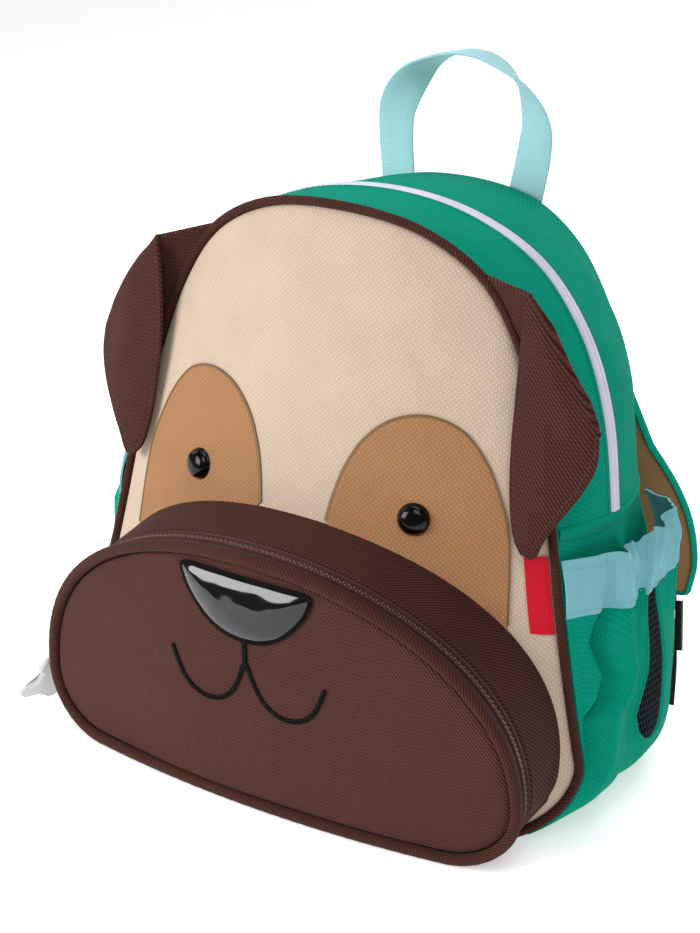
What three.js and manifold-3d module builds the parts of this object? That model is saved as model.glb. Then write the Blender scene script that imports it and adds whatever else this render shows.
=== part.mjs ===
// A child's backpack with an animal face, in millimetres: +Z is up and the face looks along -Y.
// The origin is on the floor, under the middle of the bag's flat foot.
import * as THREE from 'three';
import { mergeVertices } from 'three/addons/utils/BufferGeometryUtils.js';
import Module from 'manifold-3d';

// Cloth and the gaps left between sewn pieces
const SEAM_GAP = 0.3;
const SKIN_GAP = 1;
const PATCH_GAP = 1.3;
const SHELL_WALL = 2.4;
const BACK_WALL = 4;
const CLOTH_WALL = 1.4;
const PATCH_WALL = 1;

// Bag body: three rings of seam, at the face, along the main zip and at the wearer's back
const BAG_HEIGHT = 300;
const BACK_DROP = 4;
const BACK_HEIGHT = BAG_HEIGHT - BACK_DROP;
const FRONT_HALF_WIDTH = 146;
const ZIP_HALF_WIDTH = 146;
const BACK_HALF_WIDTH = 130;
const CORNER_RADIUS = 40;
const FRONT_FOOT_Y = -62;
const FRONT_LEAN = 42;
const FRONT_RECESS = 40;
const FOOT_RECESS = 14;
const FRONT_PUFF = 8;
const ZIP_Y = 34;
const ZIP_SHARE = 0.38;
const BACK_FOOT_Y = 124;
const BACK_LEAN = 15;
const BACK_PUFF = 5;

// Trim of the body
const PIPING_RADIUS = 2.2;
const MAIN_ZIP_WIDTH = 6;
const MAIN_ZIP_WALL = 1.4;
const ZIP_SINK = 0.6;

// Muzzle pocket
const MUZZLE_HALF_WIDTH = 138;
const MUZZLE_HEIGHT = 152;
const MUZZLE_FOOT = 6.5;
const MUZZLE_CORNER = 35;
const MUZZLE_ROUNDNESS = 2.1;
const MUZZLE_FACE_TOP = 140;
const MUZZLE_DEPTH_FOOT = 7.3;
const MUZZLE_DEPTH_TOP = 48.2;
const MUZZLE_SIDE_RECESS = 17;
const MUZZLE_PUFF = 3;
const MUZZLE_PIPING_RADIUS = 3;
const MUZZLE_ZIP_WIDTH = 11;
const MUZZLE_ZIP_END = 24;

// Face
const EYE_RADIUS = 7.8;
const EYE_HEIGHT = 5.2;
const EYE_X = 62;
const EYE_RISE = 9;
const NOSE_HALF_WIDTH = 37;
const NOSE_HEIGHT = 32.5;
const NOSE_DROP = 9.5;
const NOSE_WALL = 2;
const MOUTH_HALF_WIDTH = 44;
const MOUTH_HEIGHT = 36.5;
const MOUTH_DROP = 2;
const MOUTH_LINE = 2.2;
const TAG_WIDTH = 11;
const TAG_HEIGHT = 38;
const TAG_TOP = 149;

// Ears
const EAR_WALL = 2.4;
const EAR_FOLD_RADIUS = 2.8;
const EAR_REACH = 20;
const EAR_SEAM_TOP = 0.925;
const EAR_SEAM_LOW = 0.74;

// Carry handle and shoulder straps
const HANDLE_WIDTH = 20;
const HANDLE_WALL = 1.8;
const HANDLE_HALF_SPAN = 44;
const HANDLE_LAP = 14;
const HANDLE_RISE = 75;
const STRAP_WIDTH = 50;
const STRAP_WALL = 8;
const STRAP_BOW = 35;
const STRAP_BINDING_WALL = 1.8;
const STRAP_BINDING_WIDTH = 6.4;
const WEBBING_WIDTH = 22;
const WEBBING_WALL = 1.6;
const WEBBING_TAIL = 46;
const ANCHOR_X = 103;
const ANCHOR_Z = 14;
const ANCHOR_LAP = 14;
const LOCK_WIDTH = 32;
const LOCK_LENGTH = 27;
const LOCK_WALL = 3;
const LOCK_BAR = 3;
const TAB_LENGTH = 6;

// Side pockets
const POCKET_FOOT = 0.24;
const POCKET_TOP = 0.425;
const HEM_TOP = 0.483;
const POCKET_FRONT = 0.05;
const POCKET_BACK = 0.975;
const POCKET_PUFF = 20;
const HEM_WALL = 2.4;
const HEM_GATHER = 1.6;
const HEM_GATHERS = 5;
const MESH_MIDDLE = 0.65;
const MESH_HALF_WIDTH = 0.1;
const MESH_WALL = 1.2;
const MESH_CELL = 9;
const MESH_THREAD = 1.5;

// Zip sliders and their pulls
const SLIDER_LENGTH = 11;
const SLIDER_WIDTH = 8;
const SLIDER_WALL = 2.2;
const BRIDGE_WALL = 1.4;
const BRIDGE_WIDTH = 2;
const PULL_LENGTH = 36;
const PULL_LOBE = 6;
const PULL_SHAFT = 11;
const PULL_WALL = 3;
const PULL_BAR = 2;
const PULL_EYE = 2.6;
const PULL_TWIST = 30;
const PLAY = 0.5;
const MUZZLE_PULL_Z = 37;
const MUZZLE_PULL_SWING = 30;
const MAIN_PULL_Z = 175;
const MAIN_PULL_SWING = 22;

// Height of each row as a share of a ring's height, and each ring's half width there as a share of its own
const OUTLINE_ROWS = [
  { height: 0.38, front: 0.896, zip: 0.952, back: 0.93 },
  { height: 0.54, front: 0.83, zip: 0.914, back: 0.815 },
  { height: 0.7, front: 0.75, zip: 0.853, back: 0.765 },
  { height: 0.82, front: 0.66, zip: 0.747, back: 0.66 },
  { height: 0.92, front: 0.52, zip: 0.568, back: 0.508 },
  { height: 0.98, front: 0.305, zip: 0.308, back: 0.31 },
];
const SIDE_SEAM_ROW = 1;

// Right half of the nose from its top down, and of the mouth from its stem out: shares of its half width and
// of its height
const NOSE_SHAPE = [
  { x: 0, z: 1 }, { x: 0.55, z: 1.02 }, { x: 0.9, z: 0.99 }, { x: 1, z: 0.9 },
  { x: 0.9, z: 0.72 }, { x: 0.62, z: 0.38 }, { x: 0.3, z: 0.1 }, { x: 0, z: 0 },
];
const MOUTH_SHAPE = [
  { x: 0.02, z: 0.77 }, { x: 0.06, z: 0.5 }, { x: 0.16, z: 0.25 }, { x: 0.32, z: 0.07 }, { x: 0.51, z: 0 },
  { x: 0.7, z: 0.05 }, { x: 0.84, z: 0.2 }, { x: 0.93, z: 0.4 }, { x: 1, z: 0.62 },
];
const MOUTH_FORK = 0.62;
const NOSE_MIDDLE = 0.62;

// An eye's section from its rim to its middle: shares of its radius and of its height
const EYE_SHAPE = [
  { r: 0, h: 0 }, { r: 1, h: 0 }, { r: 1, h: 0.2 }, { r: 0.9, h: 0.52 }, { r: 0.66, h: 0.82 },
  { r: 0.36, h: 0.96 }, { r: 0, h: 1 },
];

// Inner and outer edge of an eye patch, from its top down, as shares of the front half width and the height
const PATCH_ROWS = [
  { inner: 0.42, innerZ: 0.7, outer: 0.42, outerZ: 0.7 },
  { inner: 0.315, innerZ: 0.688, outer: 0.53, outerZ: 0.684 },
  { inner: 0.23, innerZ: 0.653, outer: 0.612, outerZ: 0.642 },
  { inner: 0.172, innerZ: 0.6, outer: 0.672, outerZ: 0.585 },
  { inner: 0.145, innerZ: 0.553, outer: 0.712, outerZ: 0.525 },
  { inner: 0.13, innerZ: 0.51, outer: 0.75, outerZ: 0.36 },
];

// An ear's hanging flap from its fold to its tip, along its inner and its outer edge: x and z as shares of
// the front half width and the bag's height, and the distance in front of the seam as a share of the reach
const EAR_ROWS = [
  { innerX: 0.7, innerZ: 0.912, innerOut: 0.95, outerX: 0.965, outerZ: 0.722, outerOut: 0.93 },
  { innerX: 0.688, innerZ: 0.83, innerOut: 0.75, outerX: 0.985, outerZ: 0.672, outerOut: 0.95 },
  { innerX: 0.682, innerZ: 0.74, innerOut: 0.55, outerX: 0.975, outerZ: 0.627, outerOut: 0.95 },
  { innerX: 0.685, innerZ: 0.655, innerOut: 0.47, outerX: 0.925, outerZ: 0.58, outerOut: 0.9 },
  { innerX: 0.7, innerZ: 0.575, innerOut: 0.42, outerX: 0.855, outerZ: 0.54, outerOut: 0.75 },
  { innerX: 0.745, innerZ: 0.51, innerOut: 0.5, outerX: 0.815, outerZ: 0.51, outerOut: 0.55 },
];

// How far a side pocket stands off the gusset as a share of its puff, from the front seam to the back seam
const POCKET_ROWS = [
  { share: 0, foot: 0, low: 0, high: 0, hem: 0.1 },
  { share: 0.14, foot: 0, low: 0.15, high: 0.2, hem: 0.2 },
  { share: 0.28, foot: 0, low: 0.25, high: 0.3, hem: 0.3 },
  { share: 0.4, foot: 0, low: 0.08, high: 0.05, hem: 0.15 },
  { share: 0.54, foot: 0.05, low: 0.35, high: 0.4, hem: 0.35 },
  { share: 0.7, foot: 0.1, low: 0.7, high: 0.65, hem: 0.6 },
  { share: 0.86, foot: 0.1, low: 0.8, high: 0.95, hem: 0.95 },
  { share: 0.93, foot: 0.1, low: 0.6, high: 0.8, hem: 0.85 },
  { share: 1, foot: 0, low: 0, high: 0.05, hem: 0.1 },
];

// A shoulder strap from its low end up: x and z of its centre line as shares of the back half width and the
// bag's height, its bow off the back and its width as shares of the strap's own
const STRAP_ROWS = [
  { z: 0.27, x: 0.89, bow: 0.6, width: 0.72 },
  { z: 0.32, x: 0.87, bow: 0.76, width: 0.86 },
  { z: 0.39, x: 0.8, bow: 0.9, width: 0.94 },
  { z: 0.475, x: 0.64, bow: 1, width: 0.97 },
  { z: 0.58, x: 0.515, bow: 0.97, width: 1 },
  { z: 0.695, x: 0.41, bow: 0.75, width: 1 },
  { z: 0.81, x: 0.335, bow: 0.33, width: 0.96 },
  { z: 0.885, x: 0.31, bow: 0, width: 0.88 },
];

// Left half of the handle's loop above its sewn end: shares of its half span and of its rise
const HANDLE_SHAPE = [
  { x: 0.91, z: HANDLE_LAP / HANDLE_RISE }, { x: 0.98, z: 0.5 }, { x: 0.97, z: 0.72 },
  { x: 0.7, z: 0.97 }, { x: 0.36, z: 1.1 },
];
const HANDLE_CROWN = 1.14;

const MATERIALS = {
  cream: { color: 0xdcc5a4, roughness: 0.9 },
  tan: { color: 0xa97a50, roughness: 0.9 },
  brown: { color: 0x4b2b26, roughness: 0.85 },
  green: { color: 0x0f9678, roughness: 0.8 },
  aqua: { color: 0x9fd8da, roughness: 0.8 },
  zipTape: { color: 0xd4d0e0, roughness: 0.7 },
  black: { color: 0x141414, roughness: 0.6 },
  gloss: { color: 0x0a0a0a, roughness: 0.12 },
  red: { color: 0xc31422, roughness: 0.7 },
  rubber: { color: 0xd9dad8, roughness: 0.4 },
  metal: { color: 0x55504c, roughness: 0.4, metalness: 0.8 },
};

const { lerp, clamp } = THREE.MathUtils;
const vec = (x, y, z) => new THREE.Vector3(x, y, z);
const group = new THREE.Group();

function addPiece(name, material, geometry) {
  const mesh = new THREE.Mesh(geometry, new THREE.MeshStandardMaterial(MATERIALS[material]));
  mesh.name = name;
  group.add(mesh);
  return mesh;
}

// A closed body of the given corners and triangles, turned so that its faces point out
function solid(points, triangles) {
  let volume = 0;
  for (const [a, b, c] of triangles) {
    volume += points[a].dot(points[b].clone().cross(points[c]));
  }
  const facing = volume < 0 ? triangles.map(([a, b, c]) => [a, c, b]) : triangles;
  const geometry = new THREE.BufferGeometry().setFromPoints(points);
  geometry.setIndex(facing.flat());
  geometry.computeVertexNormals();
  return geometry;
}

// The triangles between two layers of a grid of corners, and round its four edges
function slab(layers, rows, columns) {
  const points = layers.flat(2);
  const at = (layer, i, j) => (layer * rows + i) * columns + j;
  const triangles = [];
  const quad = (a, b, c, d) => triangles.push([a, b, c], [a, c, d]);
  for (let i = 0; i < rows - 1; i++) {
    for (let j = 0; j < columns - 1; j++) {
      quad(at(0, i, j), at(0, i + 1, j), at(0, i + 1, j + 1), at(0, i, j + 1));
      quad(at(1, i, j), at(1, i, j + 1), at(1, i + 1, j + 1), at(1, i + 1, j));
    }
  }
  for (let i = 0; i < rows - 1; i++) {
    quad(at(0, i, 0), at(1, i, 0), at(1, i + 1, 0), at(0, i + 1, 0));
    quad(at(0, i, columns - 1), at(0, i + 1, columns - 1), at(1, i + 1, columns - 1), at(1, i, columns - 1));
  }
  for (let j = 0; j < columns - 1; j++) {
    quad(at(0, 0, j), at(0, 0, j + 1), at(1, 0, j + 1), at(1, 0, j));
    quad(at(0, rows - 1, j), at(1, rows - 1, j), at(1, rows - 1, j + 1), at(0, rows - 1, j + 1));
  }
  return solid(points, triangles);
}

function surfaceNormal(surface, u, v) {
  const step = 1e-3;
  const along = surface(u + step, v).sub(surface(u - step, v));
  const across = surface(u, v + step).sub(surface(u, v - step));
  return along.cross(across).normalize();
}

// Cloth of a surface over a grid, from `outer` to `inner` measured along the surface's normal
function cloth(surface, us, vsAt, outer, inner) {
  const layer = (lift) => us.map((u) => vsAt(u).map((v) => (
    surface(u, v).addScaledVector(surfaceNormal(surface, u, v), lift))));
  return slab([layer(outer), layer(inner)], us.length, vsAt(us[0]).length);
}

// A disc of cloth: rings that shrink from a closed outline to its middle, between the depths of its near
// and its far face, which are given by x, z and the ring
function panel(outline, rings, middle, nearY, farY) {
  const count = outline.length;
  const points = [];
  for (const faceY of [nearY, farY]) {
    for (const ring of rings) {
      for (const corner of outline) {
        const x = lerp(middle.x, corner.x, ring);
        const z = lerp(middle.z, corner.z, ring);
        points.push(vec(x, faceY(x, z, ring), z));
      }
    }
    points.push(vec(middle.x, faceY(middle.x, middle.z, 0), middle.z));
  }
  const layerSize = rings.length * count + 1;
  const triangles = [];
  for (let i = 0; i < count; i++) {
    const next = (i + 1) % count;
    for (const layer of [0, 1]) {
      const base = layer * layerSize;
      const face = (a, b, c) => triangles.push(layer ? [c, b, a] : [a, b, c]);
      for (let r = 0; r < rings.length - 1; r++) {
        const low = base + r * count;
        const high = low + count;
        face(low + i, low + next, high + next);
        face(low + i, high + next, high + i);
      }
      const last = base + (rings.length - 1) * count;
      face(last + i, last + next, base + layerSize - 1);
    }
    triangles.push([i, layerSize + i, layerSize + next], [i, layerSize + next, next]);
  }
  return solid(points, triangles);
}

// A section carried along a path; a frame gives the section's two axes at each point of the path
function sweep(path, frameAt, section, closed) {
  const points = path.flatMap((point, i) => {
    const { across, out } = frameAt(i);
    return section(i).map(([a, b]) => point.clone().addScaledVector(across, a).addScaledVector(out, b));
  });
  const sides = section(0).length;
  const triangles = [];
  const stations = closed ? path.length : path.length - 1;
  for (let i = 0; i < stations; i++) {
    const here = i * sides;
    const there = ((i + 1) % path.length) * sides;
    for (let j = 0; j < sides; j++) {
      const next = (j + 1) % sides;
      triangles.push([here + j, there + j, there + next], [here + j, there + next, here + next]);
    }
  }
  if (!closed) {
    const end = (path.length - 1) * sides;
    for (let j = 1; j < sides - 1; j++) {
      triangles.push([0, j, j + 1], [end, end + j + 1, end + j]);
    }
  }
  return solid(points, triangles);
}

// Axes for a sweep: `out` stays as near as it can to a chosen direction
function framesAlong(path, outAt, closed) {
  return (i) => {
    const count = path.length;
    const before = closed ? path[(i + count - 1) % count] : path[Math.max(i - 1, 0)];
    const after = closed ? path[(i + 1) % count] : path[Math.min(i + 1, count - 1)];
    const along = after.clone().sub(before).normalize();
    const across = along.clone().cross(outAt(i)).normalize();
    return { across, out: across.clone().cross(along) };
  };
}

const roundSection = (radius, sides) => Array.from({ length: sides }, (_, k) => {
  const angle = (k + 0.5) / sides * Math.PI * 2;
  return [radius * Math.cos(angle), radius * Math.sin(angle)];
});
const flatSection = (width, wall) => [
  [-width / 2, -wall / 2], [width / 2, -wall / 2], [width / 2, wall / 2], [-width / 2, wall / 2],
];

function spline(points, count) {
  return new THREE.CatmullRomCurve3(points).getPoints(count);
}

// A value from a table of rows, smooth between them: `column` as a function of `key`
function tableValue(rows, key, column, at) {
  const last = rows.length - 1;
  const x = clamp(at, rows[0][key], rows[last][key]);
  const i = Math.min(rows.findLastIndex((row) => row[key] <= x), last - 1);
  const t = (x - rows[i][key]) / (rows[i + 1][key] - rows[i][key]);
  const value = (k) => rows[clamp(k, 0, last)][column];
  const tangent = (k) => (value(k + 1) - value(k - 1)) / 2;
  const t2 = t * t;
  const t3 = t2 * t;
  return (2 * t3 - 3 * t2 + 1) * value(i) + (t3 - 2 * t2 + t) * tangent(i)
    + (3 * t2 - 2 * t3) * value(i + 1) + (t3 - t2) * tangent(i + 1);
}

// Body rings. Along half a ring, `a` runs from 0 at the middle of the foot to 1 at the top of the arch.
const FOOT_END = 0.2;
const CORNER_END = 0.32;
const ROW_STEPS = OUTLINE_ROWS.length + 1;
const SIDE_SEAM = CORNER_END + (1 - CORNER_END) * (SIDE_SEAM_ROW + 1) / ROW_STEPS;
const FRONT_SEAM_LIFT = PIPING_RADIUS + 0.6;
const FOOT_SETTLE = 0.12;

function ringOutline(halfWidth, height, foot, column) {
  const arch = OUTLINE_ROWS.map((row) => vec(row[column] * halfWidth, 0, row.height * height));
  const half = [vec(halfWidth, 0, foot + CORNER_RADIUS), ...arch, vec(0, 0, height)];
  const mirrored = half.slice(0, -1).reverse().map((p) => vec(-p.x, 0, p.z));
  const curve = new THREE.CatmullRomCurve3([...half, ...mirrored]);
  return (a) => {
    if (a <= FOOT_END) {
      return { x: (halfWidth - CORNER_RADIUS) * a / FOOT_END, z: foot };
    }
    if (a <= CORNER_END) {
      const angle = (a - FOOT_END) / (CORNER_END - FOOT_END) * Math.PI / 2;
      return {
        x: halfWidth - CORNER_RADIUS * (1 - Math.sin(angle)),
        z: foot + CORNER_RADIUS * (1 - Math.cos(angle)),
      };
    }
    const p = curve.getPoint((a - CORNER_END) / (1 - CORNER_END) / 2);
    return { x: p.x, z: p.z };
  };
}

const frontRing = ringOutline(FRONT_HALF_WIDTH, BAG_HEIGHT, FRONT_SEAM_LIFT, 'front');
const zipRing = ringOutline(ZIP_HALF_WIDTH, BAG_HEIGHT, 0, 'zip');
const backRing = ringOutline(BACK_HALF_WIDTH, BACK_HEIGHT, 0, 'back');

function frontSeamY(x, z) {
  const share = z / BAG_HEIGHT;
  const recess = FRONT_RECESS + FOOT_RECESS * (1 - share) ** 3;
  return FRONT_FOOT_Y + FRONT_LEAN * share + recess * (x / FRONT_HALF_WIDTH) ** 2;
}

const backSeamY = (z) => BACK_FOOT_Y - BACK_LEAN * z / BAG_HEIGHT;

// The bag's outside: `v` runs from 0 at the front seam to 1 at the back seam
function bodyPoint(side, a, v) {
  const f = frontRing(a);
  const m = zipRing(a);
  const b = backRing(a);
  const settled = 1 - Math.max(0, 1 - v / FOOT_SETTLE) ** 2;
  f.z -= settled * FRONT_SEAM_LIFT * clamp(1 - (f.z - FRONT_SEAM_LIFT) / CORNER_RADIUS, 0, 1);
  const wf = (v - ZIP_SHARE) * (v - 1) / ZIP_SHARE;
  const wm = v * (v - 1) / (ZIP_SHARE * (ZIP_SHARE - 1));
  const wb = v * (v - ZIP_SHARE) / (1 - ZIP_SHARE);
  const x = wf * f.x + wm * m.x + wb * b.x;
  const y = wf * frontSeamY(f.x, f.z) + wm * ZIP_Y + wb * backSeamY(b.z);
  const z = wf * f.z + wm * m.z + wb * b.z;
  return vec(side * x, y, Math.max(z, 0));
}

const archPoint = (u, v) => bodyPoint(u < 0 ? -1 : 1, lerp(1, SIDE_SEAM, Math.abs(u)), v);
const footPoint = (u, v) => bodyPoint(u < 0 ? 1 : -1, Math.abs(u) * SIDE_SEAM, v);

// The share of `v` that covers a distance measured square to the seam that runs along `u`
function depthShare(surface, u, v, distance) {
  const step = 1e-3;
  const along = surface(u + step, v).sub(surface(u - step, v)).normalize();
  const across = surface(u, v + step).sub(surface(u, v - step));
  return distance * 2 * step / across.cross(along).length();
}

function spread(from, to, count) {
  return Array.from({ length: count + 1 }, (_, k) => lerp(from, to, k / count));
}

// Stops along half a ring, shared by every piece so that their facets line up
const ARCH_STOPS = spread(SIDE_SEAM, 1, (ROW_STEPS - SIDE_SEAM_ROW - 1) * 3);
const FOOT_STOPS = [
  ...spread(0, FOOT_END, 4), ...spread(FOOT_END, CORNER_END, 3).slice(1),
  ...spread(CORNER_END, SIDE_SEAM, (SIDE_SEAM_ROW + 1) * 2).slice(1),
];
const HALF_STOPS = [...FOOT_STOPS, ...ARCH_STOPS.slice(1)];
const seamInset = SEAM_GAP / 2 / (FRONT_HALF_WIDTH + BAG_HEIGHT);

function mirroredStops(halfUs) {
  const ends = halfUs.map((u) => (u === 1 ? 1 - seamInset : u));
  return [...ends.slice().reverse().map((u) => -u), ...ends.filter((u) => u !== 0)];
}

const ARCH_US = mirroredStops(ARCH_STOPS.map((a) => (1 - a) / (1 - SIDE_SEAM)).reverse());
const FOOT_US = mirroredStops(FOOT_STOPS.map((a) => a / SIDE_SEAM));

// A closed loop of points on a ring, moved `inset` towards its middle
function ringLoop(ring, inset) {
  const right = HALF_STOPS.map(ring);
  const left = right.slice(1, -1).reverse().map((p) => ({ x: -p.x, z: p.z }));
  const loop = [...right, ...left];
  return insetLoop(loop, inset);
}

function insetLoop(loop, inset) {
  const count = loop.length;
  return loop.map((p, i) => {
    const before = loop[(i + count - 1) % count];
    const after = loop[(i + 1) % count];
    const dx = after.x - before.x;
    const dz = after.z - before.z;
    const length = Math.hypot(dx, dz);
    return { x: p.x - dz / length * inset, z: p.z + dx / length * inset };
  });
}

// Half width of a loop at a height, from its right-hand side
function halfWidthAt(loop, z) {
  const right = loop.filter((p) => p.x >= 0);
  for (let i = 0; i < right.length - 1; i++) {
    const low = right[i];
    const high = right[i + 1];
    if (z >= low.z && z <= high.z && high.z > low.z) {
      return lerp(low.x, high.x, (z - low.z) / (high.z - low.z));
    }
  }
  return 0;
}

const frontLoop = ringLoop(frontRing, 0);
const backLoop = ringLoop(backRing, 0);

function puffAt(loop, x, z, height) {
  const width = halfWidthAt(loop, z);
  const across = width > 0 ? Math.max(0, 1 - (x / width) ** 2) : 0;
  return across * Math.sin(Math.PI * clamp(z / height, 0, 1)) ** 0.6;
}

const panelY = (x, z) => frontSeamY(x, z) - FRONT_PUFF * puffAt(frontLoop, x, z, BAG_HEIGHT);
const backY = (x, z) => backSeamY(z) + BACK_PUFF * puffAt(backLoop, x, z, BACK_HEIGHT);

const PIPED_EDGE = PIPING_RADIUS + SEAM_GAP;
const frontPanel = panel(ringLoop(frontRing, PIPED_EDGE), [1, 0.88, 0.65, 0.33],
  { x: 0, z: BAG_HEIGHT * 0.45 }, panelY, (x, z) => panelY(x, z) + SHELL_WALL);
const backPanel = panel(ringLoop(backRing, SHELL_WALL + 2 * SEAM_GAP), [1, 0.8, 0.4],
  { x: 0, z: BACK_HEIGHT * 0.45 }, (x, z) => backY(x, z) - BACK_WALL, backY);

// How far out a panel's facets stand at x and z, so that what is sewn on them follows them
function facetDepth(geometry, pick, otherwise) {
  const corners = geometry.attributes.position;
  const index = geometry.index.array;
  return (x, z) => {
    const found = [];
    for (let i = 0; i < index.length; i += 3) {
      const [a, b, c] = [0, 1, 2].map((k) => vec().fromBufferAttribute(corners, index[i + k]));
      const area = (b.x - a.x) * (c.z - a.z) - (c.x - a.x) * (b.z - a.z);
      if (Math.abs(area) < 1e-6) {
        continue;
      }
      const s = ((x - a.x) * (c.z - a.z) - (c.x - a.x) * (z - a.z)) / area;
      const t = ((b.x - a.x) * (z - a.z) - (x - a.x) * (b.z - a.z)) / area;
      if (s >= 0 && t >= 0 && s + t <= 1) {
        found.push(a.y + s * (b.y - a.y) + t * (c.y - a.y));
      }
    }
    return found.length ? pick(...found) : otherwise(x, z);
  };
}

const panelFaceY = facetDepth(frontPanel, Math.min, panelY);
const backFaceY = facetDepth(backPanel, Math.max, backY);

function makeBody() {
  const frontStart = (surface) => (u) => depthShare(surface, u, 0, PIPED_EDGE);
  const zipEdge = (u, out) => depthShare(archPoint, u, ZIP_SHARE, MAIN_ZIP_WIDTH / 2 + out);

  addPiece('front_panel', 'cream', frontPanel);
  addPiece('back_panel', 'green', backPanel);

  addPiece('gusset_front', 'green', cloth(archPoint, ARCH_US, (u) => (
    spread(frontStart(archPoint)(u), ZIP_SHARE - zipEdge(u, SEAM_GAP), 3)), 0, -SHELL_WALL));
  addPiece('main_zip', 'zipTape', cloth(archPoint, ARCH_US, (u) => (
    spread(ZIP_SHARE - zipEdge(u, 0), ZIP_SHARE + zipEdge(u, 0), 1)), -ZIP_SINK, -ZIP_SINK - MAIN_ZIP_WALL));
  addPiece('gusset_back', 'green', cloth(archPoint, ARCH_US, (u) => (
    spread(ZIP_SHARE + zipEdge(u, SEAM_GAP), 1, 3)), 0, -SHELL_WALL));
  addPiece('gusset_lower', 'green', cloth(footPoint, FOOT_US, (u) => (
    spread(frontStart(footPoint)(u), 1, 6)), 0, -SHELL_WALL));

  const seam = frontLoop.map((p) => vec(p.x, frontSeamY(p.x, p.z), p.z));
  const frames = framesAlong(seam, () => vec(0, -1, 0), true);
  addPiece('front_piping', 'brown', sweep(seam, frames, () => roundSection(PIPING_RADIUS, 6), true));
}

// Muzzle pocket. Along half its outline, `a` runs from 0 at the middle of the foot to 1 at its top.
const MUZZLE_FOOT_END = 0.25;
const MUZZLE_CORNER_END = 0.4;

function muzzleOutline(a) {
  const flat = MUZZLE_HALF_WIDTH - MUZZLE_CORNER;
  if (a <= MUZZLE_FOOT_END) {
    return { x: flat * a / MUZZLE_FOOT_END, z: MUZZLE_FOOT };
  }
  const shoulder = MUZZLE_FOOT + MUZZLE_CORNER;
  if (a <= MUZZLE_CORNER_END) {
    const angle = (a - MUZZLE_FOOT_END) / (MUZZLE_CORNER_END - MUZZLE_FOOT_END) * Math.PI / 2;
    return { x: flat + MUZZLE_CORNER * Math.sin(angle), z: shoulder - MUZZLE_CORNER * Math.cos(angle) };
  }
  const angle = (a - MUZZLE_CORNER_END) / (1 - MUZZLE_CORNER_END) * Math.PI / 2;
  const power = 2 / MUZZLE_ROUNDNESS;
  return {
    x: MUZZLE_HALF_WIDTH * Math.max(Math.cos(angle), 0) ** power,
    z: shoulder + (MUZZLE_HEIGHT - shoulder) * Math.sin(angle) ** power,
  };
}

const MUZZLE_FACE_FOOT = MUZZLE_PIPING_RADIUS + 0.3;
const faceScale = (MUZZLE_FACE_TOP - MUZZLE_FACE_FOOT) / (MUZZLE_HEIGHT - MUZZLE_FOOT);
const faceHeight = (z) => MUZZLE_FACE_FOOT + (z - MUZZLE_FOOT) * faceScale;

// The pocket's face seam, by x and the height on the face itself
function faceSeamY(x, faceZ) {
  const z = MUZZLE_FOOT + (faceZ - MUZZLE_FACE_FOOT) / faceScale;
  const depth = lerp(MUZZLE_DEPTH_FOOT, MUZZLE_DEPTH_TOP, z / MUZZLE_HEIGHT);
  return FRONT_FOOT_Y + FRONT_LEAN * z / BAG_HEIGHT - depth
    + MUZZLE_SIDE_RECESS * (x / MUZZLE_HALF_WIDTH) ** 2;
}

const MUZZLE_STOPS = [
  ...spread(0, MUZZLE_FOOT_END, 5), ...spread(MUZZLE_FOOT_END, MUZZLE_CORNER_END, 3).slice(1),
  ...spread(MUZZLE_CORNER_END, 1, 12).slice(1),
];

function muzzleLoop(inset) {
  const right = MUZZLE_STOPS.map(muzzleOutline).map((p) => ({ x: p.x, z: faceHeight(p.z) }));
  const left = right.slice(1, -1).reverse().map((p) => ({ x: -p.x, z: p.z }));
  return insetLoop([...right, ...left], inset);
}

const faceLoop = muzzleLoop(0);
const faceY = (x, z) => faceSeamY(x, z)
  - MUZZLE_PUFF * puffAt(faceLoop, x, Math.max(z, MUZZLE_FACE_FOOT + 1), MUZZLE_FACE_TOP);

const FACE_EDGE = MUZZLE_PIPING_RADIUS + SEAM_GAP;
const muzzleFace = panel(muzzleLoop(FACE_EDGE), [1, 0.75, 0.4], { x: 0, z: MUZZLE_FACE_TOP * 0.5 },
  faceY, (x, z) => faceY(x, z) + CLOTH_WALL);
const muzzleFaceY = facetDepth(muzzleFace, Math.min, faceY);

// The pocket's sides: `w` runs from 0 on the front panel to 1 at the face's piping
function muzzlePoint(side, a, w) {
  const p = muzzleOutline(a);
  const inward = 1 - CLOTH_WALL / MUZZLE_CORNER;
  const middleZ = MUZZLE_FOOT + MUZZLE_CORNER;
  const innerX = p.x * (p.x > MUZZLE_CORNER ? 1 - CLOTH_WALL / p.x : inward);
  const innerZ = middleZ + (p.z - middleZ) * inward;
  const base = vec(p.x, Math.min(panelFaceY(p.x, p.z), panelFaceY(innerX, innerZ)) - SKIN_GAP, p.z);
  const z = faceHeight(p.z);
  return base.lerp(vec(p.x, faceSeamY(p.x, z), z), w).multiply(vec(side, 1, 1));
}

// The zipped band stops at a seam above each lower corner, where the plain foot strip takes over
const MUZZLE_SEAM = lerp(MUZZLE_FOOT_END, MUZZLE_CORNER_END,
  Math.acos(1 - MUZZLE_ZIP_END / (MUZZLE_FOOT + MUZZLE_CORNER)) / (Math.PI / 2));

const muzzleArch = (u, w) => muzzlePoint(u < 0 ? -1 : 1, lerp(1, MUZZLE_SEAM, Math.abs(u)), w);

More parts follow.
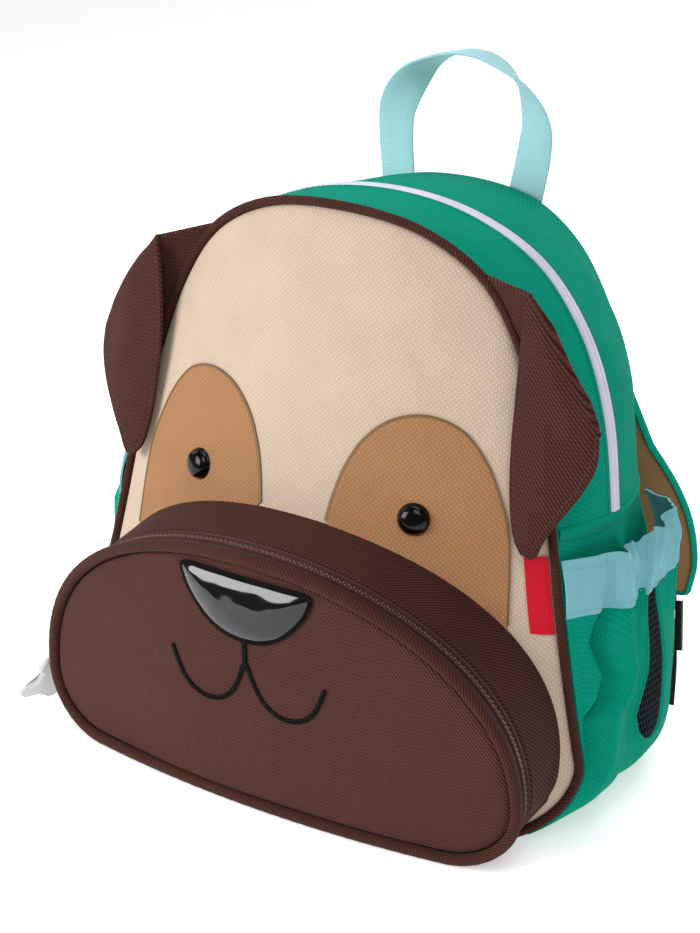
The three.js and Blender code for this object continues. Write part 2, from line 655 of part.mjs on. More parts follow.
function makeMuzzle() {
  const foot = (u, w) => muzzlePoint(u < 0 ? 1 : -1, Math.abs(u) * MUZZLE_SEAM, w);
  const near = (surface, u, distance) => 1 - depthShare(surface, u, 0.5, distance);
  const archUs = mirroredStops([...MUZZLE_STOPS.filter((a) => a > MUZZLE_SEAM), MUZZLE_SEAM]
    .map((a) => (1 - a) / (1 - MUZZLE_SEAM)).sort((p, q) => p - q));
  const footUs = mirroredStops([...MUZZLE_STOPS.filter((a) => a < MUZZLE_SEAM), MUZZLE_SEAM]
    .map((a) => a / MUZZLE_SEAM));

  addPiece('muzzle_band', 'brown', cloth(muzzleArch, archUs, (u) => (
    spread(0, near(muzzleArch, u, FACE_EDGE + MUZZLE_ZIP_WIDTH + SEAM_GAP), 2)), 0, CLOTH_WALL));
  addPiece('muzzle_zip', 'brown', cloth(muzzleArch, archUs, (u) => (
    spread(near(muzzleArch, u, FACE_EDGE + MUZZLE_ZIP_WIDTH), near(muzzleArch, u, FACE_EDGE), 1)
  ), 0, CLOTH_WALL));
  addPiece('muzzle_foot', 'brown', cloth(foot, footUs, (u) => (
    spread(0, near(foot, u, FACE_EDGE), 1)), 0, CLOTH_WALL));
  addPiece('muzzle_face', 'brown', muzzleFace);

  const seam = faceLoop.map((p) => vec(p.x, faceSeamY(p.x, p.z), p.z));
  const frames = framesAlong(seam, () => vec(0, -1, 0), true);
  addPiece('muzzle_piping', 'brown', sweep(seam, frames, () => roundSection(MUZZLE_PIPING_RADIUS, 6), true));
}

// The muzzle's outline on the front panel: its height at x
function muzzleTop(x) {
  const shoulder = MUZZLE_FOOT + MUZZLE_CORNER;
  const across = Math.min(Math.abs(x) / MUZZLE_HALF_WIDTH, 1) ** MUZZLE_ROUNDNESS;
  return shoulder + (MUZZLE_HEIGHT - shoulder) * (1 - across) ** (1 / MUZZLE_ROUNDNESS);
}

// A plate between two faces with the same corners, closed along every open edge, holes included
function plateBetween(near, far, faces) {
  const count = near.length;
  const triangles = faces.flatMap(([a, b, c]) => [[a, b, c], [count + c, count + b, count + a]]);
  const edges = faces.flatMap(([a, b, c]) => [[a, b], [b, c], [c, a]]);
  const known = new Set(edges.map(([a, b]) => a * count + b));
  for (const [a, b] of edges.filter(([from, to]) => !known.has(to * count + from))) {
    triangles.push([b, a, count + a], [b, count + a, count + b]);
  }
  return solid([...near, ...far], triangles);
}

// Flat work sewn on a skin: an outline of x and z between two depths
function flatWork(outline, nearY, farY) {
  const faces = THREE.ShapeUtils.triangulateShape(outline.map(({ x, z }) => new THREE.Vector2(x, z)), []);
  const layer = (faceY) => outline.map(({ x, z }) => vec(x, faceY(x, z), z));
  return plateBetween(layer(nearY), layer(farY), faces);
}

function mirrored(points, side) {
  return side > 0 ? points : points.map((p) => ({ ...p, x: -p.x })).reverse();
}

function makeFace() {
  const patchTop = (x, z) => panelFaceY(x, z) - PATCH_GAP - PATCH_WALL;
  const eyeZ = MUZZLE_HEIGHT + EYE_RISE;
  for (const [side, name] of [[1, 'right'], [-1, 'left']]) {
    const onFace = (x, z) => vec(x * FRONT_HALF_WIDTH, 0, z * BAG_HEIGHT);
    const edge = [
      ...PATCH_ROWS.slice(1).reverse().map((row) => onFace(row.inner, row.innerZ)),
      ...PATCH_ROWS.map((row) => onFace(row.outer, row.outerZ)),
    ];
    const arch = spline(edge, 15).map((p) => ({ x: p.x, z: Math.max(p.z, muzzleTop(p.x) + PATCH_WALL) }));
    const foot = spread(arch.at(-1).x, arch[0].x, 6).slice(1, -1)
      .map((x) => ({ x, z: muzzleTop(x) + PATCH_WALL }));
    const middle = { x: side * EYE_X, z: eyeZ };
    addPiece(`eye_patch_${name}`, 'tan', panel(mirrored([...arch, ...foot], side), [1, 0.5], middle,
      patchTop, (x, z) => patchTop(x, z) + PATCH_WALL));

    const profile = EYE_SHAPE.map(({ r, h }) => new THREE.Vector2(r * EYE_RADIUS, h * EYE_HEIGHT));
    const eye = new THREE.LatheGeometry(profile, 12);
    const at = vec(side * EYE_X, patchTop(side * EYE_X, eyeZ) - SKIN_GAP, eyeZ);
    const step = EYE_RADIUS;
    const slopeX = (patchTop(at.x + step, at.z) - patchTop(at.x - step, at.z)) / (2 * step);
    const slopeZ = (patchTop(at.x, at.z + step) - patchTop(at.x, at.z - step)) / (2 * step);
    const turn = new THREE.Quaternion().setFromUnitVectors(vec(0, 1, 0), vec(slopeX, -1, slopeZ).normalize());
    eye.applyQuaternion(turn).translate(at.x, at.y, at.z);
    addPiece(`eye_${name}`, 'gloss', welded(eye));
  }

  const noseFoot = MUZZLE_FACE_TOP - NOSE_DROP - NOSE_HEIGHT;
  const half = NOSE_SHAPE.map(({ x, z }) => ({ x: x * NOSE_HALF_WIDTH, z: noseFoot + z * NOSE_HEIGHT }));
  const nose = [...half, ...mirrored(half, -1).slice(1, -1)];
  addPiece('nose', 'gloss', panel(nose, [1, 0.6], { x: 0, z: noseFoot + NOSE_MIDDLE * NOSE_HEIGHT },
    (x, z, ring) => muzzleFaceY(x, z) - SKIN_GAP - NOSE_WALL * (0.45 + 0.55 * (1 - ring ** 2)),
    (x, z) => muzzleFaceY(x, z) - SKIN_GAP));

  const mouthTop = noseFoot - MOUTH_DROP;
  const mouthFoot = mouthTop - MOUTH_HEIGHT;
  const hook = MOUTH_SHAPE.map(({ x, z }) => vec(x * MOUTH_HALF_WIDTH, 0, mouthFoot + z * MOUTH_HEIGHT));
  const upper = [];
  const lower = [];
  hook.forEach((p, i) => {
    const { across } = framesAlong(hook, () => vec(0, -1, 0), false)(i);
    upper.push(p.clone().addScaledVector(across, -MOUTH_LINE / 2));
    lower.push(p.clone().addScaledVector(across, MOUTH_LINE / 2));
  });
  const stem = MOUTH_LINE / 2;
  const edge = [vec(stem, 0, mouthTop), ...(upper[0].z > lower[0].z ? upper : lower),
    ...(upper[0].z > lower[0].z ? lower : upper).slice(1).reverse()];
  const notch = vec(0, 0, mouthFoot + MOUTH_FORK * MOUTH_HEIGHT);
  const flip = (p) => vec(-p.x, 0, p.z);
  addPiece('mouth', 'black', flatWork([...edge, notch, ...edge.map(flip).reverse()],
    (x, z) => muzzleFaceY(x, z) - SKIN_GAP - PATCH_WALL, (x, z) => muzzleFaceY(x, z) - SKIN_GAP));

  const tagRows = spread(TAG_TOP - TAG_HEIGHT, TAG_TOP, 3);
  const pipedLoop = ringLoop(frontRing, PIPED_EDGE + SEAM_GAP);
  const tagEdge = tagRows.map((z) => ({ x: halfWidthAt(pipedLoop, z), z }));
  const tagOutline = [...tagEdge, ...tagEdge.map(({ x, z }) => ({ x: x - TAG_WIDTH, z })).reverse()];
  addPiece('side_tag', 'red', flatWork(tagOutline,
    (x, z) => panelFaceY(x, z) - SKIN_GAP - PATCH_WALL, (x, z) => panelFaceY(x, z) - SKIN_GAP));
}

// One body of welded corners, without normals or texture corners of its own
function welded(geometry) {
  geometry.deleteAttribute('normal');
  geometry.deleteAttribute('uv');
  const merged = mergeVertices(geometry, 1e-4);
  const corners = merged.attributes.position;
  const points = Array.from({ length: corners.count }, (_, i) => vec().fromBufferAttribute(corners, i));
  const index = merged.index.array;
  const triangles = [];
  for (let i = 0; i < index.length; i += 3) {
    const [a, b, c] = index.slice(i, i + 3);
    if (a !== b && b !== c && c !== a) {
      triangles.push([a, b, c]);
    }
  }
  return solid(points, triangles);
}

// A sheet of even wall over a grid of centre points
function gridSheet(grid, wall) {
  const rows = grid.length;
  const columns = grid[0].length;
  const normal = (i, j) => {
    const down = grid[Math.min(i + 1, rows - 1)][j].clone().sub(grid[Math.max(i - 1, 0)][j]);
    const over = grid[i][Math.min(j + 1, columns - 1)].clone().sub(grid[i][Math.max(j - 1, 0)]);
    return down.cross(over).normalize();
  };
  const layer = (lift) => grid.map((row, i) => row.map((p, j) => (
    p.clone().addScaledVector(normal(i, j), lift))));
  return slab([layer(wall / 2), layer(-wall / 2)], rows, columns);
}

// Where a rising function reaches a value
function reach(rising, from, to, value) {
  let [low, high] = [from, to];
  for (let k = 0; k < 40; k++) {
    const middle = (low + high) / 2;
    [low, high] = rising(middle) < value ? [middle, high] : [low, middle];
  }
  return low;
}

function makeEars() {
  const across = spread(0, 1, 4);
  const clear = PIPING_RADIUS + SEAM_GAP + EAR_WALL / 2;
  for (const [side, name] of [[1, 'right'], [-1, 'left']]) {
    const seamAt = (share) => reach((a) => frontRing(a).z, CORNER_END, 1, share * BAG_HEIGHT);
    const seamFrom = seamAt(EAR_SEAM_TOP);
    const seamTo = seamAt(EAR_SEAM_LOW);
    const seam = across.map((s) => {
      const a = lerp(seamFrom, seamTo, s);
      const p = frontRing(a);
      const q = frontRing(a - 1e-3);
      const length = Math.hypot(q.x - p.x, q.z - p.z);
      const outX = (p.z - q.z) / length;
      const outZ = (q.x - p.x) / length;
      return vec(p.x + outX * clear, frontSeamY(p.x, p.z), p.z + outZ * clear);
    });
    const flapRow = (row) => across.map((s) => {
      const x = lerp(row.innerX, row.outerX, s) * FRONT_HALF_WIDTH;
      const z = lerp(row.innerZ, row.outerZ, s) * BAG_HEIGHT;
      const bulge = 1 + 0.3 * Math.sin(Math.PI * s);
      return vec(x, frontSeamY(x, z) - lerp(row.innerOut, row.outerOut, s) * bulge * EAR_REACH, z);
    });
    const flap = EAR_ROWS.map(flapRow);
    const foldAlong = flap[0].at(-1).clone().sub(flap[0][0]).normalize();
    const foldOut = vec(-foldAlong.z, 0, foldAlong.x).normalize();
    const fold = (outward, back) => flap[0].map((p) => (
      p.clone().addScaledVector(foldOut, outward * EAR_FOLD_RADIUS).add(vec(0, back * EAR_FOLD_RADIUS, 0))));
    const behind = fold(0, 2);
    const root = seam.map((p, j) => p.clone().lerp(behind[j], 0.5));
    const grid = [seam, root, behind, fold(0.7, 1.7), fold(1, 1), fold(0.7, 0.3), ...flap];
    const placed = grid.map((row) => row.map((p) => vec(side * p.x, p.y, p.z)));
    addPiece(`ear_${name}`, 'brown', gridSheet(placed, EAR_WALL));
  }
}

// Axes for a flat tape whose width lies in a chosen direction
function framesAcross(path, acrossAt) {
  return (i) => {
    const before = path[Math.max(i - 1, 0)];
    const after = path[Math.min(i + 1, path.length - 1)];
    const along = after.clone().sub(before).normalize();
    const wide = acrossAt(i);
    const across = wide.clone().addScaledVector(along, -wide.dot(along)).normalize();
    return { across, out: across.clone().cross(along) };
  };
}

function makeHandle() {
  const lift = SKIN_GAP + HANDLE_WALL / 2;
  const footX = HANDLE_HALF_SPAN * HANDLE_SHAPE[0].x;
  const panelTop = halfHeightAt(footX);
  const low = panelTop - HANDLE_LAP;
  const y = Math.max(backFaceY(footX, low), backFaceY(footX, panelTop - 2 * SHELL_WALL)) + lift;
  const rise = HANDLE_SHAPE.map(({ x, z }) => vec(-x * HANDLE_HALF_SPAN, y, low + z * HANDLE_RISE));
  const half = [vec(-footX, y, low), ...rise];
  const top = vec(0, y, low + HANDLE_CROWN * HANDLE_RISE);
  const points = [...half, top, ...half.slice().reverse().map((p) => vec(-p.x, p.y, p.z))];
  const path = spline(points, 22);
  const frames = framesAcross(path, (i) => {
    const turn = Math.sin(Math.PI * i / (path.length - 1)) ** 4;
    return vec(Math.sign(i - (path.length - 1) / 2) * (1 - turn), -turn, 0);
  });
  addPiece('carry_handle', 'aqua', sweep(path, frames, () => flatSection(HANDLE_WIDTH, HANDLE_WALL), false));
}

// The back panel's top edge at x
function halfHeightAt(x) {
  const a = HALF_STOPS.filter((stop) => stop > CORNER_END);
  const i = a.findIndex((stop) => backRing(stop).x < x && backRing(stop).z > BACK_HEIGHT / 2);
  const [p, q] = [backRing(a[i - 1]), backRing(a[i])];
  return lerp(p.z, q.z, (p.x - x) / (p.x - q.x)) - SHELL_WALL - 2 * SEAM_GAP;
}

function strapPoint(side, z) {
  const x = tableValue(STRAP_ROWS, 'z', 'x', z) * BACK_HALF_WIDTH;
  const bow = Math.max(tableValue(STRAP_ROWS, 'z', 'bow', z), 0) * STRAP_BOW;
  const y = backFaceY(x, z * BAG_HEIGHT) + SEAM_GAP + STRAP_WALL / 2 + bow;
  return vec(side * x, y, z * BAG_HEIGHT);
}

function makeStraps() {
  const stations = spread(STRAP_ROWS.at(-1).z, STRAP_ROWS[0].z, 12);
  const halfWidths = stations.map((z) => tableValue(STRAP_ROWS, 'z', 'width', z) * STRAP_WIDTH / 2);
  for (const [side, name] of [[1, 'right'], [-1, 'left']]) {
    const path = stations.map((z) => strapPoint(side, z));
    const frames = framesAcross(path, () => vec(side, 0, 0));
    const section = (i) => {
      const half = halfWidths[i];
      const edge = half - STRAP_WALL / 3;
      const low = STRAP_WALL * 0.22;
      const high = STRAP_WALL / 2;
      return [[-half, -low], [-edge, -high], [edge, -high], [half, -low],
        [half, low], [edge, high], [-edge, high], [-half, low]];
    };
    addPiece(`shoulder_strap_${name}`, 'tan', sweep(path, frames, section, false));

    const off = PLAY + STRAP_BINDING_WALL / 2;
    const end = path.length - 1;
    const down = path[end].clone().sub(path[end - 1]).normalize();
    const edgePoint = (i, way) => (
      path[i].clone().addScaledVector(frames(i).across, way * (halfWidths[i] + off)));
    const stops = path.map((_, i) => i);
    const corner = (way) => edgePoint(end, way).addScaledVector(down, off);
    const edgePath = [...stops.map((i) => edgePoint(i, 1)), corner(1), corner(-1),
      ...stops.slice().reverse().map((i) => edgePoint(i, -1))];
    const edgeOut = [...stops, end, end, ...stops.slice().reverse()].map((i) => frames(i).out);
    const edgeFrames = framesAlong(edgePath, (i) => edgeOut[i], false);
    addPiece(`strap_binding_${name}`, 'green', sweep(edgePath, edgeFrames,
      () => flatSection(STRAP_BINDING_WALL, STRAP_BINDING_WIDTH), false));

    const anchorY = (z) => backFaceY(ANCHOR_X, z) + SKIN_GAP + WEBBING_WALL / 2;
    const anchorTop = vec(side * ANCHOR_X, anchorY(ANCHOR_Z + ANCHOR_LAP), ANCHOR_Z + ANCHOR_LAP);
    const start = path[end].clone().addScaledVector(down, off + STRAP_BINDING_WALL / 2 + SEAM_GAP);
    const over = frames(end).across.clone().multiplyScalar(side);
    const out = over.clone().cross(down);
    const local = (d, n) => start.clone().addScaledVector(down, d).addScaledVector(out, n);
    const round = Math.hypot(LOCK_BAR, LOCK_WALL) / 2 + PLAY + WEBBING_WALL / 2;
    const pitch = (LOCK_LENGTH - LOCK_BAR) / 2;
    const bar = TAB_LENGTH;
    const tabPath = [local(0, round), local(bar, round), local(bar + 0.7 * round, 0.7 * round),
      local(bar + round, 0), local(bar + 0.7 * round, -0.7 * round), local(bar, -round), local(0, -round)];
    const tape = () => flatSection(WEBBING_WIDTH, WEBBING_WALL);
    addPiece(`strap_tab_${name}`, 'black', sweep(tabPath, framesAcross(tabPath, () => over), tape, false));

    const plate = new THREE.Shape([[-1, 0], [1, 0], [1, 1], [-1, 1]].map(([x, d]) => (
      new THREE.Vector2(x * LOCK_WIDTH / 2, d * LOCK_LENGTH))));
    const slotHalf = WEBBING_WIDTH / 2 + PLAY;
    for (const from of [LOCK_BAR, LOCK_BAR + pitch]) {
      plate.holes.push(new THREE.Path([[-1, 0], [1, 0], [1, 1], [-1, 1]].map(([x, d]) => (
        new THREE.Vector2(x * slotHalf, from + d * (pitch - LOCK_BAR))))));
    }
    const lock = new THREE.ExtrudeGeometry(plate, { depth: LOCK_WALL, bevelEnabled: false });
    lock.translate(0, -LOCK_BAR / 2, -LOCK_WALL / 2);
    lock.applyMatrix4(new THREE.Matrix4().makeBasis(over, down, out).setPosition(local(bar, 0)));
    addPiece(`ladder_lock_${name}`, 'black', welded(lock));

    const middleBar = bar + pitch;
    const tailTop = local(middleBar + round, round * 1.1);
    const webbing = [
      tailTop.clone().add(vec(0, WEBBING_TAIL * 0.2, -WEBBING_TAIL)),
      tailTop.clone().add(vec(0, WEBBING_TAIL * 0.14, -WEBBING_TAIL / 2)), tailTop,
      local(middleBar, round), local(middleBar - 0.7 * round, 0.7 * round), local(middleBar - round, 0),
      local(middleBar - 0.7 * round, -0.7 * round), local(middleBar, -round),
      local(middleBar + pitch + LOCK_BAR, -round),
      anchorTop.clone().add(vec(0, WEBBING_WALL * 1.5, WEBBING_WALL * 2)),
      anchorTop, vec(side * ANCHOR_X, anchorY(ANCHOR_Z), ANCHOR_Z),
    ];
    const sewnFrom = webbing.length - 3;
    addPiece(`strap_webbing_${name}`, 'black', sweep(webbing,
      framesAcross(webbing, (i) => (i < sewnFrom ? over : vec(1, 0, 0))), tape, false));
  }
}

// Side pockets: a point off the gusset by the pocket's stand-off and a lift of its own
function pocketStandOff(a, v) {
  const h = (a - POCKET_FOOT) / (POCKET_TOP - POCKET_FOOT);
  const levels = [['foot', 0], ['low', 0.35], ['high', 0.8], ['hem', 1]];
  const value = (column) => Math.max(tableValue(POCKET_ROWS, 'share', column, v), 0);
  const i = clamp(levels.findLastIndex(([, at]) => at <= h), 0, levels.length - 2);
  const t = clamp((h - levels[i][1]) / (levels[i + 1][1] - levels[i][1]), 0, 1);
  return SKIN_GAP + POCKET_PUFF * lerp(value(levels[i][0]), value(levels[i + 1][0]), t * t * (3 - 2 * t));
}

function pocketPoint(side, a, v, lift) {
  const normal = surfaceNormal((p, q) => bodyPoint(side, p, q), a, v);
  return bodyPoint(side, a, v).addScaledVector(normal, -side * (pocketStandOff(a, v) + lift));
}

const POCKET_STEPS = 6;
const FRONT_STOPS = [0, 0.2, 0.42, 0.62, 0.8, 1];
const BACK_STOPS = [0, 0.3, 0.6, 0.85, 1];
const meshHalf = (h) => MESH_HALF_WIDTH * Math.sin(Math.PI * (0.14 + 0.76 * h));
const pocketHeight = (h) => lerp(POCKET_FOOT, POCKET_TOP, h);

function pocketCloth(side, hs, vsAt, wall) {
  const layer = (lift) => hs.map((h) => vsAt(h).map((v) => pocketPoint(side, pocketHeight(h), v, lift)));
  return slab([layer(wall), layer(0)], hs.length, vsAt(hs[0]).length);
}

// Mesh as a sheet with six-sided cells cut through it, drawn flat in millimetres and laid on the pocket
function pocketMesh(side) {
  const depth = BACK_FOOT_Y - FRONT_FOOT_Y;
  const height = bodyPoint(1, POCKET_TOP, 0.5).z - bodyPoint(1, POCKET_FOOT, 0.5).z;
  const gap = SKIN_GAP / depth;
  const ends = [0.03, 0.99];
  const hs = [ends[0], ...spread(0, 1, POCKET_STEPS).slice(1, -1), ends[1]];
  const at = (h, way) => new THREE.Vector2(way * (meshHalf(h) - gap) * depth, h * height);
  const contour = [...hs.map((h) => at(h, 1)), ...hs.slice().reverse().map((h) => at(h, -1))];
  const radius = (MESH_CELL - MESH_THREAD) / Math.sqrt(3);
  const holes = [];
  for (let row = 0; row * MESH_CELL * Math.sqrt(0.75) < height; row++) {
    for (let column = -4; column <= 4; column++) {
      const step = new THREE.Vector2(column + (row % 2) / 2, row * Math.sqrt(0.75));
      const middle = step.multiplyScalar(MESH_CELL);
      const cell = Array.from({ length: 6 }, (_, k) => (
        new THREE.Vector2(0, radius).rotateAround(new THREE.Vector2(), k * Math.PI / 3).add(middle)));
      const inside = (p) => p.y > ends[0] * height + MESH_THREAD && p.y < ends[1] * height - MESH_THREAD
        && Math.abs(p.x) < meshHalf(p.y / height) * depth - MESH_THREAD;
      if (cell.every(inside)) {
        holes.push(cell);
      }
    }
  }
  const flat = [contour, ...holes].flat();
  const faces = THREE.ShapeUtils.triangulateShape(contour, holes);
  const layer = (lift) => flat.map((p) => (
    pocketPoint(side, pocketHeight(p.y / height), MESH_MIDDLE + p.x / depth, lift)));
  return plateBetween(layer(MESH_WALL), layer(0), faces);
}

function makePockets() {
  const gap = SEAM_GAP / (BACK_FOOT_Y - FRONT_FOOT_Y);
  const hs = spread(0, 1, POCKET_STEPS);
  for (const [side, name] of [[1, 'right'], [-1, 'left']]) {
    addPiece(`pocket_front_${name}`, 'green', pocketCloth(side, hs, (h) => (
      FRONT_STOPS.map((t) => lerp(POCKET_FRONT, MESH_MIDDLE - meshHalf(h) - gap, t))), CLOTH_WALL));
    addPiece(`pocket_back_${name}`, 'green', pocketCloth(side, hs, (h) => (
      BACK_STOPS.map((t) => lerp(MESH_MIDDLE + meshHalf(h) + gap, POCKET_BACK, t))), CLOTH_WALL));
    addPiece(`pocket_mesh_${name}`, 'black', pocketMesh(side));

    const vs = spread(POCKET_FRONT, POCKET_BACK, 4 * HEM_GATHERS);
    const rows = [POCKET_TOP + 0.7 * SEAM_GAP / BAG_HEIGHT, lerp(POCKET_TOP, HEM_TOP, 0.5), HEM_TOP];
    const layer = (lift) => rows.map((a, i) => vs.map((v, k) => {
      const wave = Math.sin(Math.PI * k / 2 + i) * HEM_GATHER * Math.sin(Math.PI * k / (vs.length - 1));
      return pocketPoint(side, a, v, Math.max(wave, -SKIN_GAP / 2) + lift);
    }));
    addPiece(`pocket_hem_${name}`, 'aqua', slab([layer(HEM_WALL), layer(0)], rows.length, vs.length));
  }
}

const wasm = await Module();
wasm.setup();

function asManifold(geometry) {
  const corners = geometry.attributes.position;
  return new wasm.Manifold(new wasm.Mesh({
    numProp: 3,
    vertProperties: new Float32Array(corners.array),
    triVerts: new Uint32Array(geometry.index.array),
  }));
}

function fromManifold(body) {
  const mesh = body.getMesh();
  const points = Array.from({ length: mesh.vertProperties.length / 3 }, (_, i) => (
    vec().fromArray(mesh.vertProperties, i * 3)));
  const triangles = Array.from({ length: mesh.triVerts.length / 3 }, (_, i) => (
    Array.from(mesh.triVerts.slice(i * 3, i * 3 + 3))));
  return solid(points, triangles);
}

// A slider on a zip's outside and the pull that hangs from its bridge, swung out from the zip
function makeZipPull(name, surface, u, v, swing) {
  const base = surface(u, v);
  const normal = surfaceNormal(surface, u, v);
  const out = normal.multiplyScalar(Math.sign(normal.x * base.x));
  const step = 1e-3;
  const low = surface(u - step, v).z < surface(u + step, v).z ? -1 : 1;
  const slope = surface(u + low * step, v).sub(base);
  const down = slope.addScaledVector(out, -slope.dot(out)).normalize();
  const over = out.clone().cross(down);
  const frame = new THREE.Matrix4().makeBasis(down, over, out);

  const inner = Math.hypot(PULL_BAR, PULL_WALL) + 2 * PLAY;
  const body = new THREE.BoxGeometry(SLIDER_LENGTH, SLIDER_WIDTH, SLIDER_WALL);
  body.translate(0, 0, SLIDER_WALL / 2);
  const bridge = new THREE.BoxGeometry(inner + 2 * BRIDGE_WALL, BRIDGE_WIDTH, inner + BRIDGE_WALL);
  bridge.translate(0, 0, SLIDER_WALL + (inner + BRIDGE_WALL) / 2);
  const window = new THREE.BoxGeometry(inner, 2 * BRIDGE_WIDTH, inner);
  window.translate(0, 0, SLIDER_WALL + inner / 2);
  const slider = fromManifold(asManifold(welded(body)).add(
    asManifold(welded(bridge)).subtract(asManifold(welded(window)))));
  slider.applyMatrix4(frame.clone().setPosition(base.clone().addScaledVector(out, SEAM_GAP)));
  addPiece(`${name}_slider`, 'metal', slider);

  const lobeX = PULL_LOBE * 1.05;
  const lobe = (d, w, from, to) => spread(from, to, 5).map((angle) => (
    new THREE.Vector2(d + PULL_LOBE * Math.cos(angle), w + PULL_LOBE * Math.sin(angle))));
  const near = PULL_LOBE - PULL_BAR / 2;
  const far = PULL_LENGTH - PULL_LOBE;
  const shaft = PULL_SHAFT / 2;
  const outline = new THREE.Shape([
    new THREE.Vector2(-PULL_BAR / 2, 0), ...lobe(near, -lobeX, Math.PI, Math.PI * 1.85),
    new THREE.Vector2(near + PULL_LOBE * 1.4, -shaft), new THREE.Vector2(far - PULL_LOBE * 1.4, -shaft),
    ...lobe(far, -lobeX, Math.PI * 1.15, Math.PI * 2), new THREE.Vector2(far + PULL_LOBE * 0.6, 0),
    ...lobe(far, lobeX, 0, Math.PI * 0.85),
    new THREE.Vector2(far - PULL_LOBE * 1.4, shaft), new THREE.Vector2(near + PULL_LOBE * 1.4, shaft),
    ...lobe(near, lobeX, Math.PI * 0.15, Math.PI),
  ]);
  const eye = PULL_BAR / 2 + PULL_EYE;
  outline.holes.push(new THREE.Path(Array.from({ length: 8 }, (_, k) => (
    new THREE.Vector2(eye, 0).add(new THREE.Vector2(PULL_EYE, 0)
      .rotateAround(new THREE.Vector2(), (k + 0.5) * Math.PI / 4))))));
  const bone = welded(new THREE.ExtrudeGeometry(outline, { depth: PULL_WALL, bevelEnabled: false })
    .translate(0, 0, -PULL_WALL / 2));
  const corners = bone.attributes.position;
  const twistFrom = eye + PULL_EYE;
  for (let i = 0; i < corners.count; i++) {
    const p = vec().fromBufferAttribute(corners, i);
    const share = clamp((p.x - twistFrom) / (PULL_LENGTH - twistFrom), 0, 1);
    p.applyAxisAngle(vec(1, 0, 0), THREE.MathUtils.degToRad(PULL_TWIST * share));
    corners.setXYZ(i, p.x, p.y, p.z);
  }
  const swung = THREE.MathUtils.degToRad(swing);
  const hang = down.clone().multiplyScalar(Math.cos(swung)).addScaledVector(out, Math.sin(swung));
  const pivot = base.clone().addScaledVector(out, SEAM_GAP + SLIDER_WALL + inner / 2);
  bone.applyMatrix4(new THREE.Matrix4().makeBasis(hang, over, hang.clone().cross(over)).setPosition(pivot));
  addPiece(`${name}_pull`, 'rubber', bone);
}

function makeZipPulls() {
  const middle = FACE_EDGE + MUZZLE_ZIP_WIDTH / 2;
  const muzzleV = (u) => 1 - depthShare(muzzleArch, u, 0.5, middle);
  const muzzleU = reach((u) => muzzleArch(u, muzzleV(u)).z, -1, -0.5, MUZZLE_PULL_Z);
  makeZipPull('muzzle', muzzleArch, muzzleU, muzzleV(muzzleU), MUZZLE_PULL_SWING);
  const mainU = reach((u) => archPoint(u, ZIP_SHARE).z, -1, -0.5, MAIN_PULL_Z);
  makeZipPull('main', archPoint, mainU, ZIP_SHARE, MAIN_PULL_SWING);
}

makeBody();
makeMuzzle();
makeFace();
makeEars();
makeHandle();
makeStraps();
makePockets();
makeZipPulls();

export default group;
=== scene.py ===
"""A child's animal backpack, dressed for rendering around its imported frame.

Every shape is worked out in millimetres from named sizes and turned into metres when its mesh is made.
"""

import logging
import math
from dataclasses import dataclass
from enum import Enum
from functools import cache
from typing import Callable, Sequence, Union

import bmesh
import bpy
import numpy as np
from mathutils import Matrix, Vector

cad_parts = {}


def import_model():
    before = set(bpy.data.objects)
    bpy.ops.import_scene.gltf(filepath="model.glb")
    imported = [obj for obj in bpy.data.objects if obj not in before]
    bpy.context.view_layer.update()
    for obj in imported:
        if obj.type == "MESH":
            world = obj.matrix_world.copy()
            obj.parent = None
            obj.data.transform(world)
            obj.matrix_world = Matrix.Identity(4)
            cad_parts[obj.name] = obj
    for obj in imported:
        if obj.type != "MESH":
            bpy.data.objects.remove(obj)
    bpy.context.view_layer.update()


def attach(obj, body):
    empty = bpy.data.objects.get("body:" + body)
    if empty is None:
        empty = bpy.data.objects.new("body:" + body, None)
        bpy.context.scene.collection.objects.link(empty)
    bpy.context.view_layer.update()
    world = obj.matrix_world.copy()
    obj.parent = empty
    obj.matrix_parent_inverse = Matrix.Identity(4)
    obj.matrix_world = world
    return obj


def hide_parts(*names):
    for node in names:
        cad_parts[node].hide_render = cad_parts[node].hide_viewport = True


MM = 0.001
TAU = 2 * math.pi
LOG = logging.getLogger("backpack")
Array = np.ndarray
Value = Union[Array, float]
# the direction out of the face, and the bag's two sides
FORWARD = np.array([0.0, -1.0, 0.0])
SIDES = ((1, "right"), (-1, "left"))
# how high the two zip sliders stand on the left, in millimetres
MUZZLE_SLIDER_HEIGHT = 37.0
MAIN_SLIDER_HEIGHT = 175.0


# Small maths


def lerp(a: Value, b: Value, t: Value) -> Value:
    """A value between a and b."""
    return a + (b - a) * t


def smooth(t: Value) -> Value:
    """A soft step from 0 to 1."""
    t = np.clip(t, 0.0, 1.0)
    return t * t * (3 - 2 * t)


def bell(away: Value, width: Value, power: int = 2) -> Value:
    """A bump that is 1 where `away` is 0 and fades over a width."""
    return np.exp(-(away / width) ** power)


def join(*parts: Value) -> Array:
    """Puts numbers side by side along a new last axis."""
    return np.stack(np.broadcast_arrays(*parts), axis=-1)


def unit(v: Array) -> Array:
    """Vectors along the last axis, scaled to length 1."""
    return v / np.maximum(np.linalg.norm(v, axis=-1, keepdims=True), 1e-9)


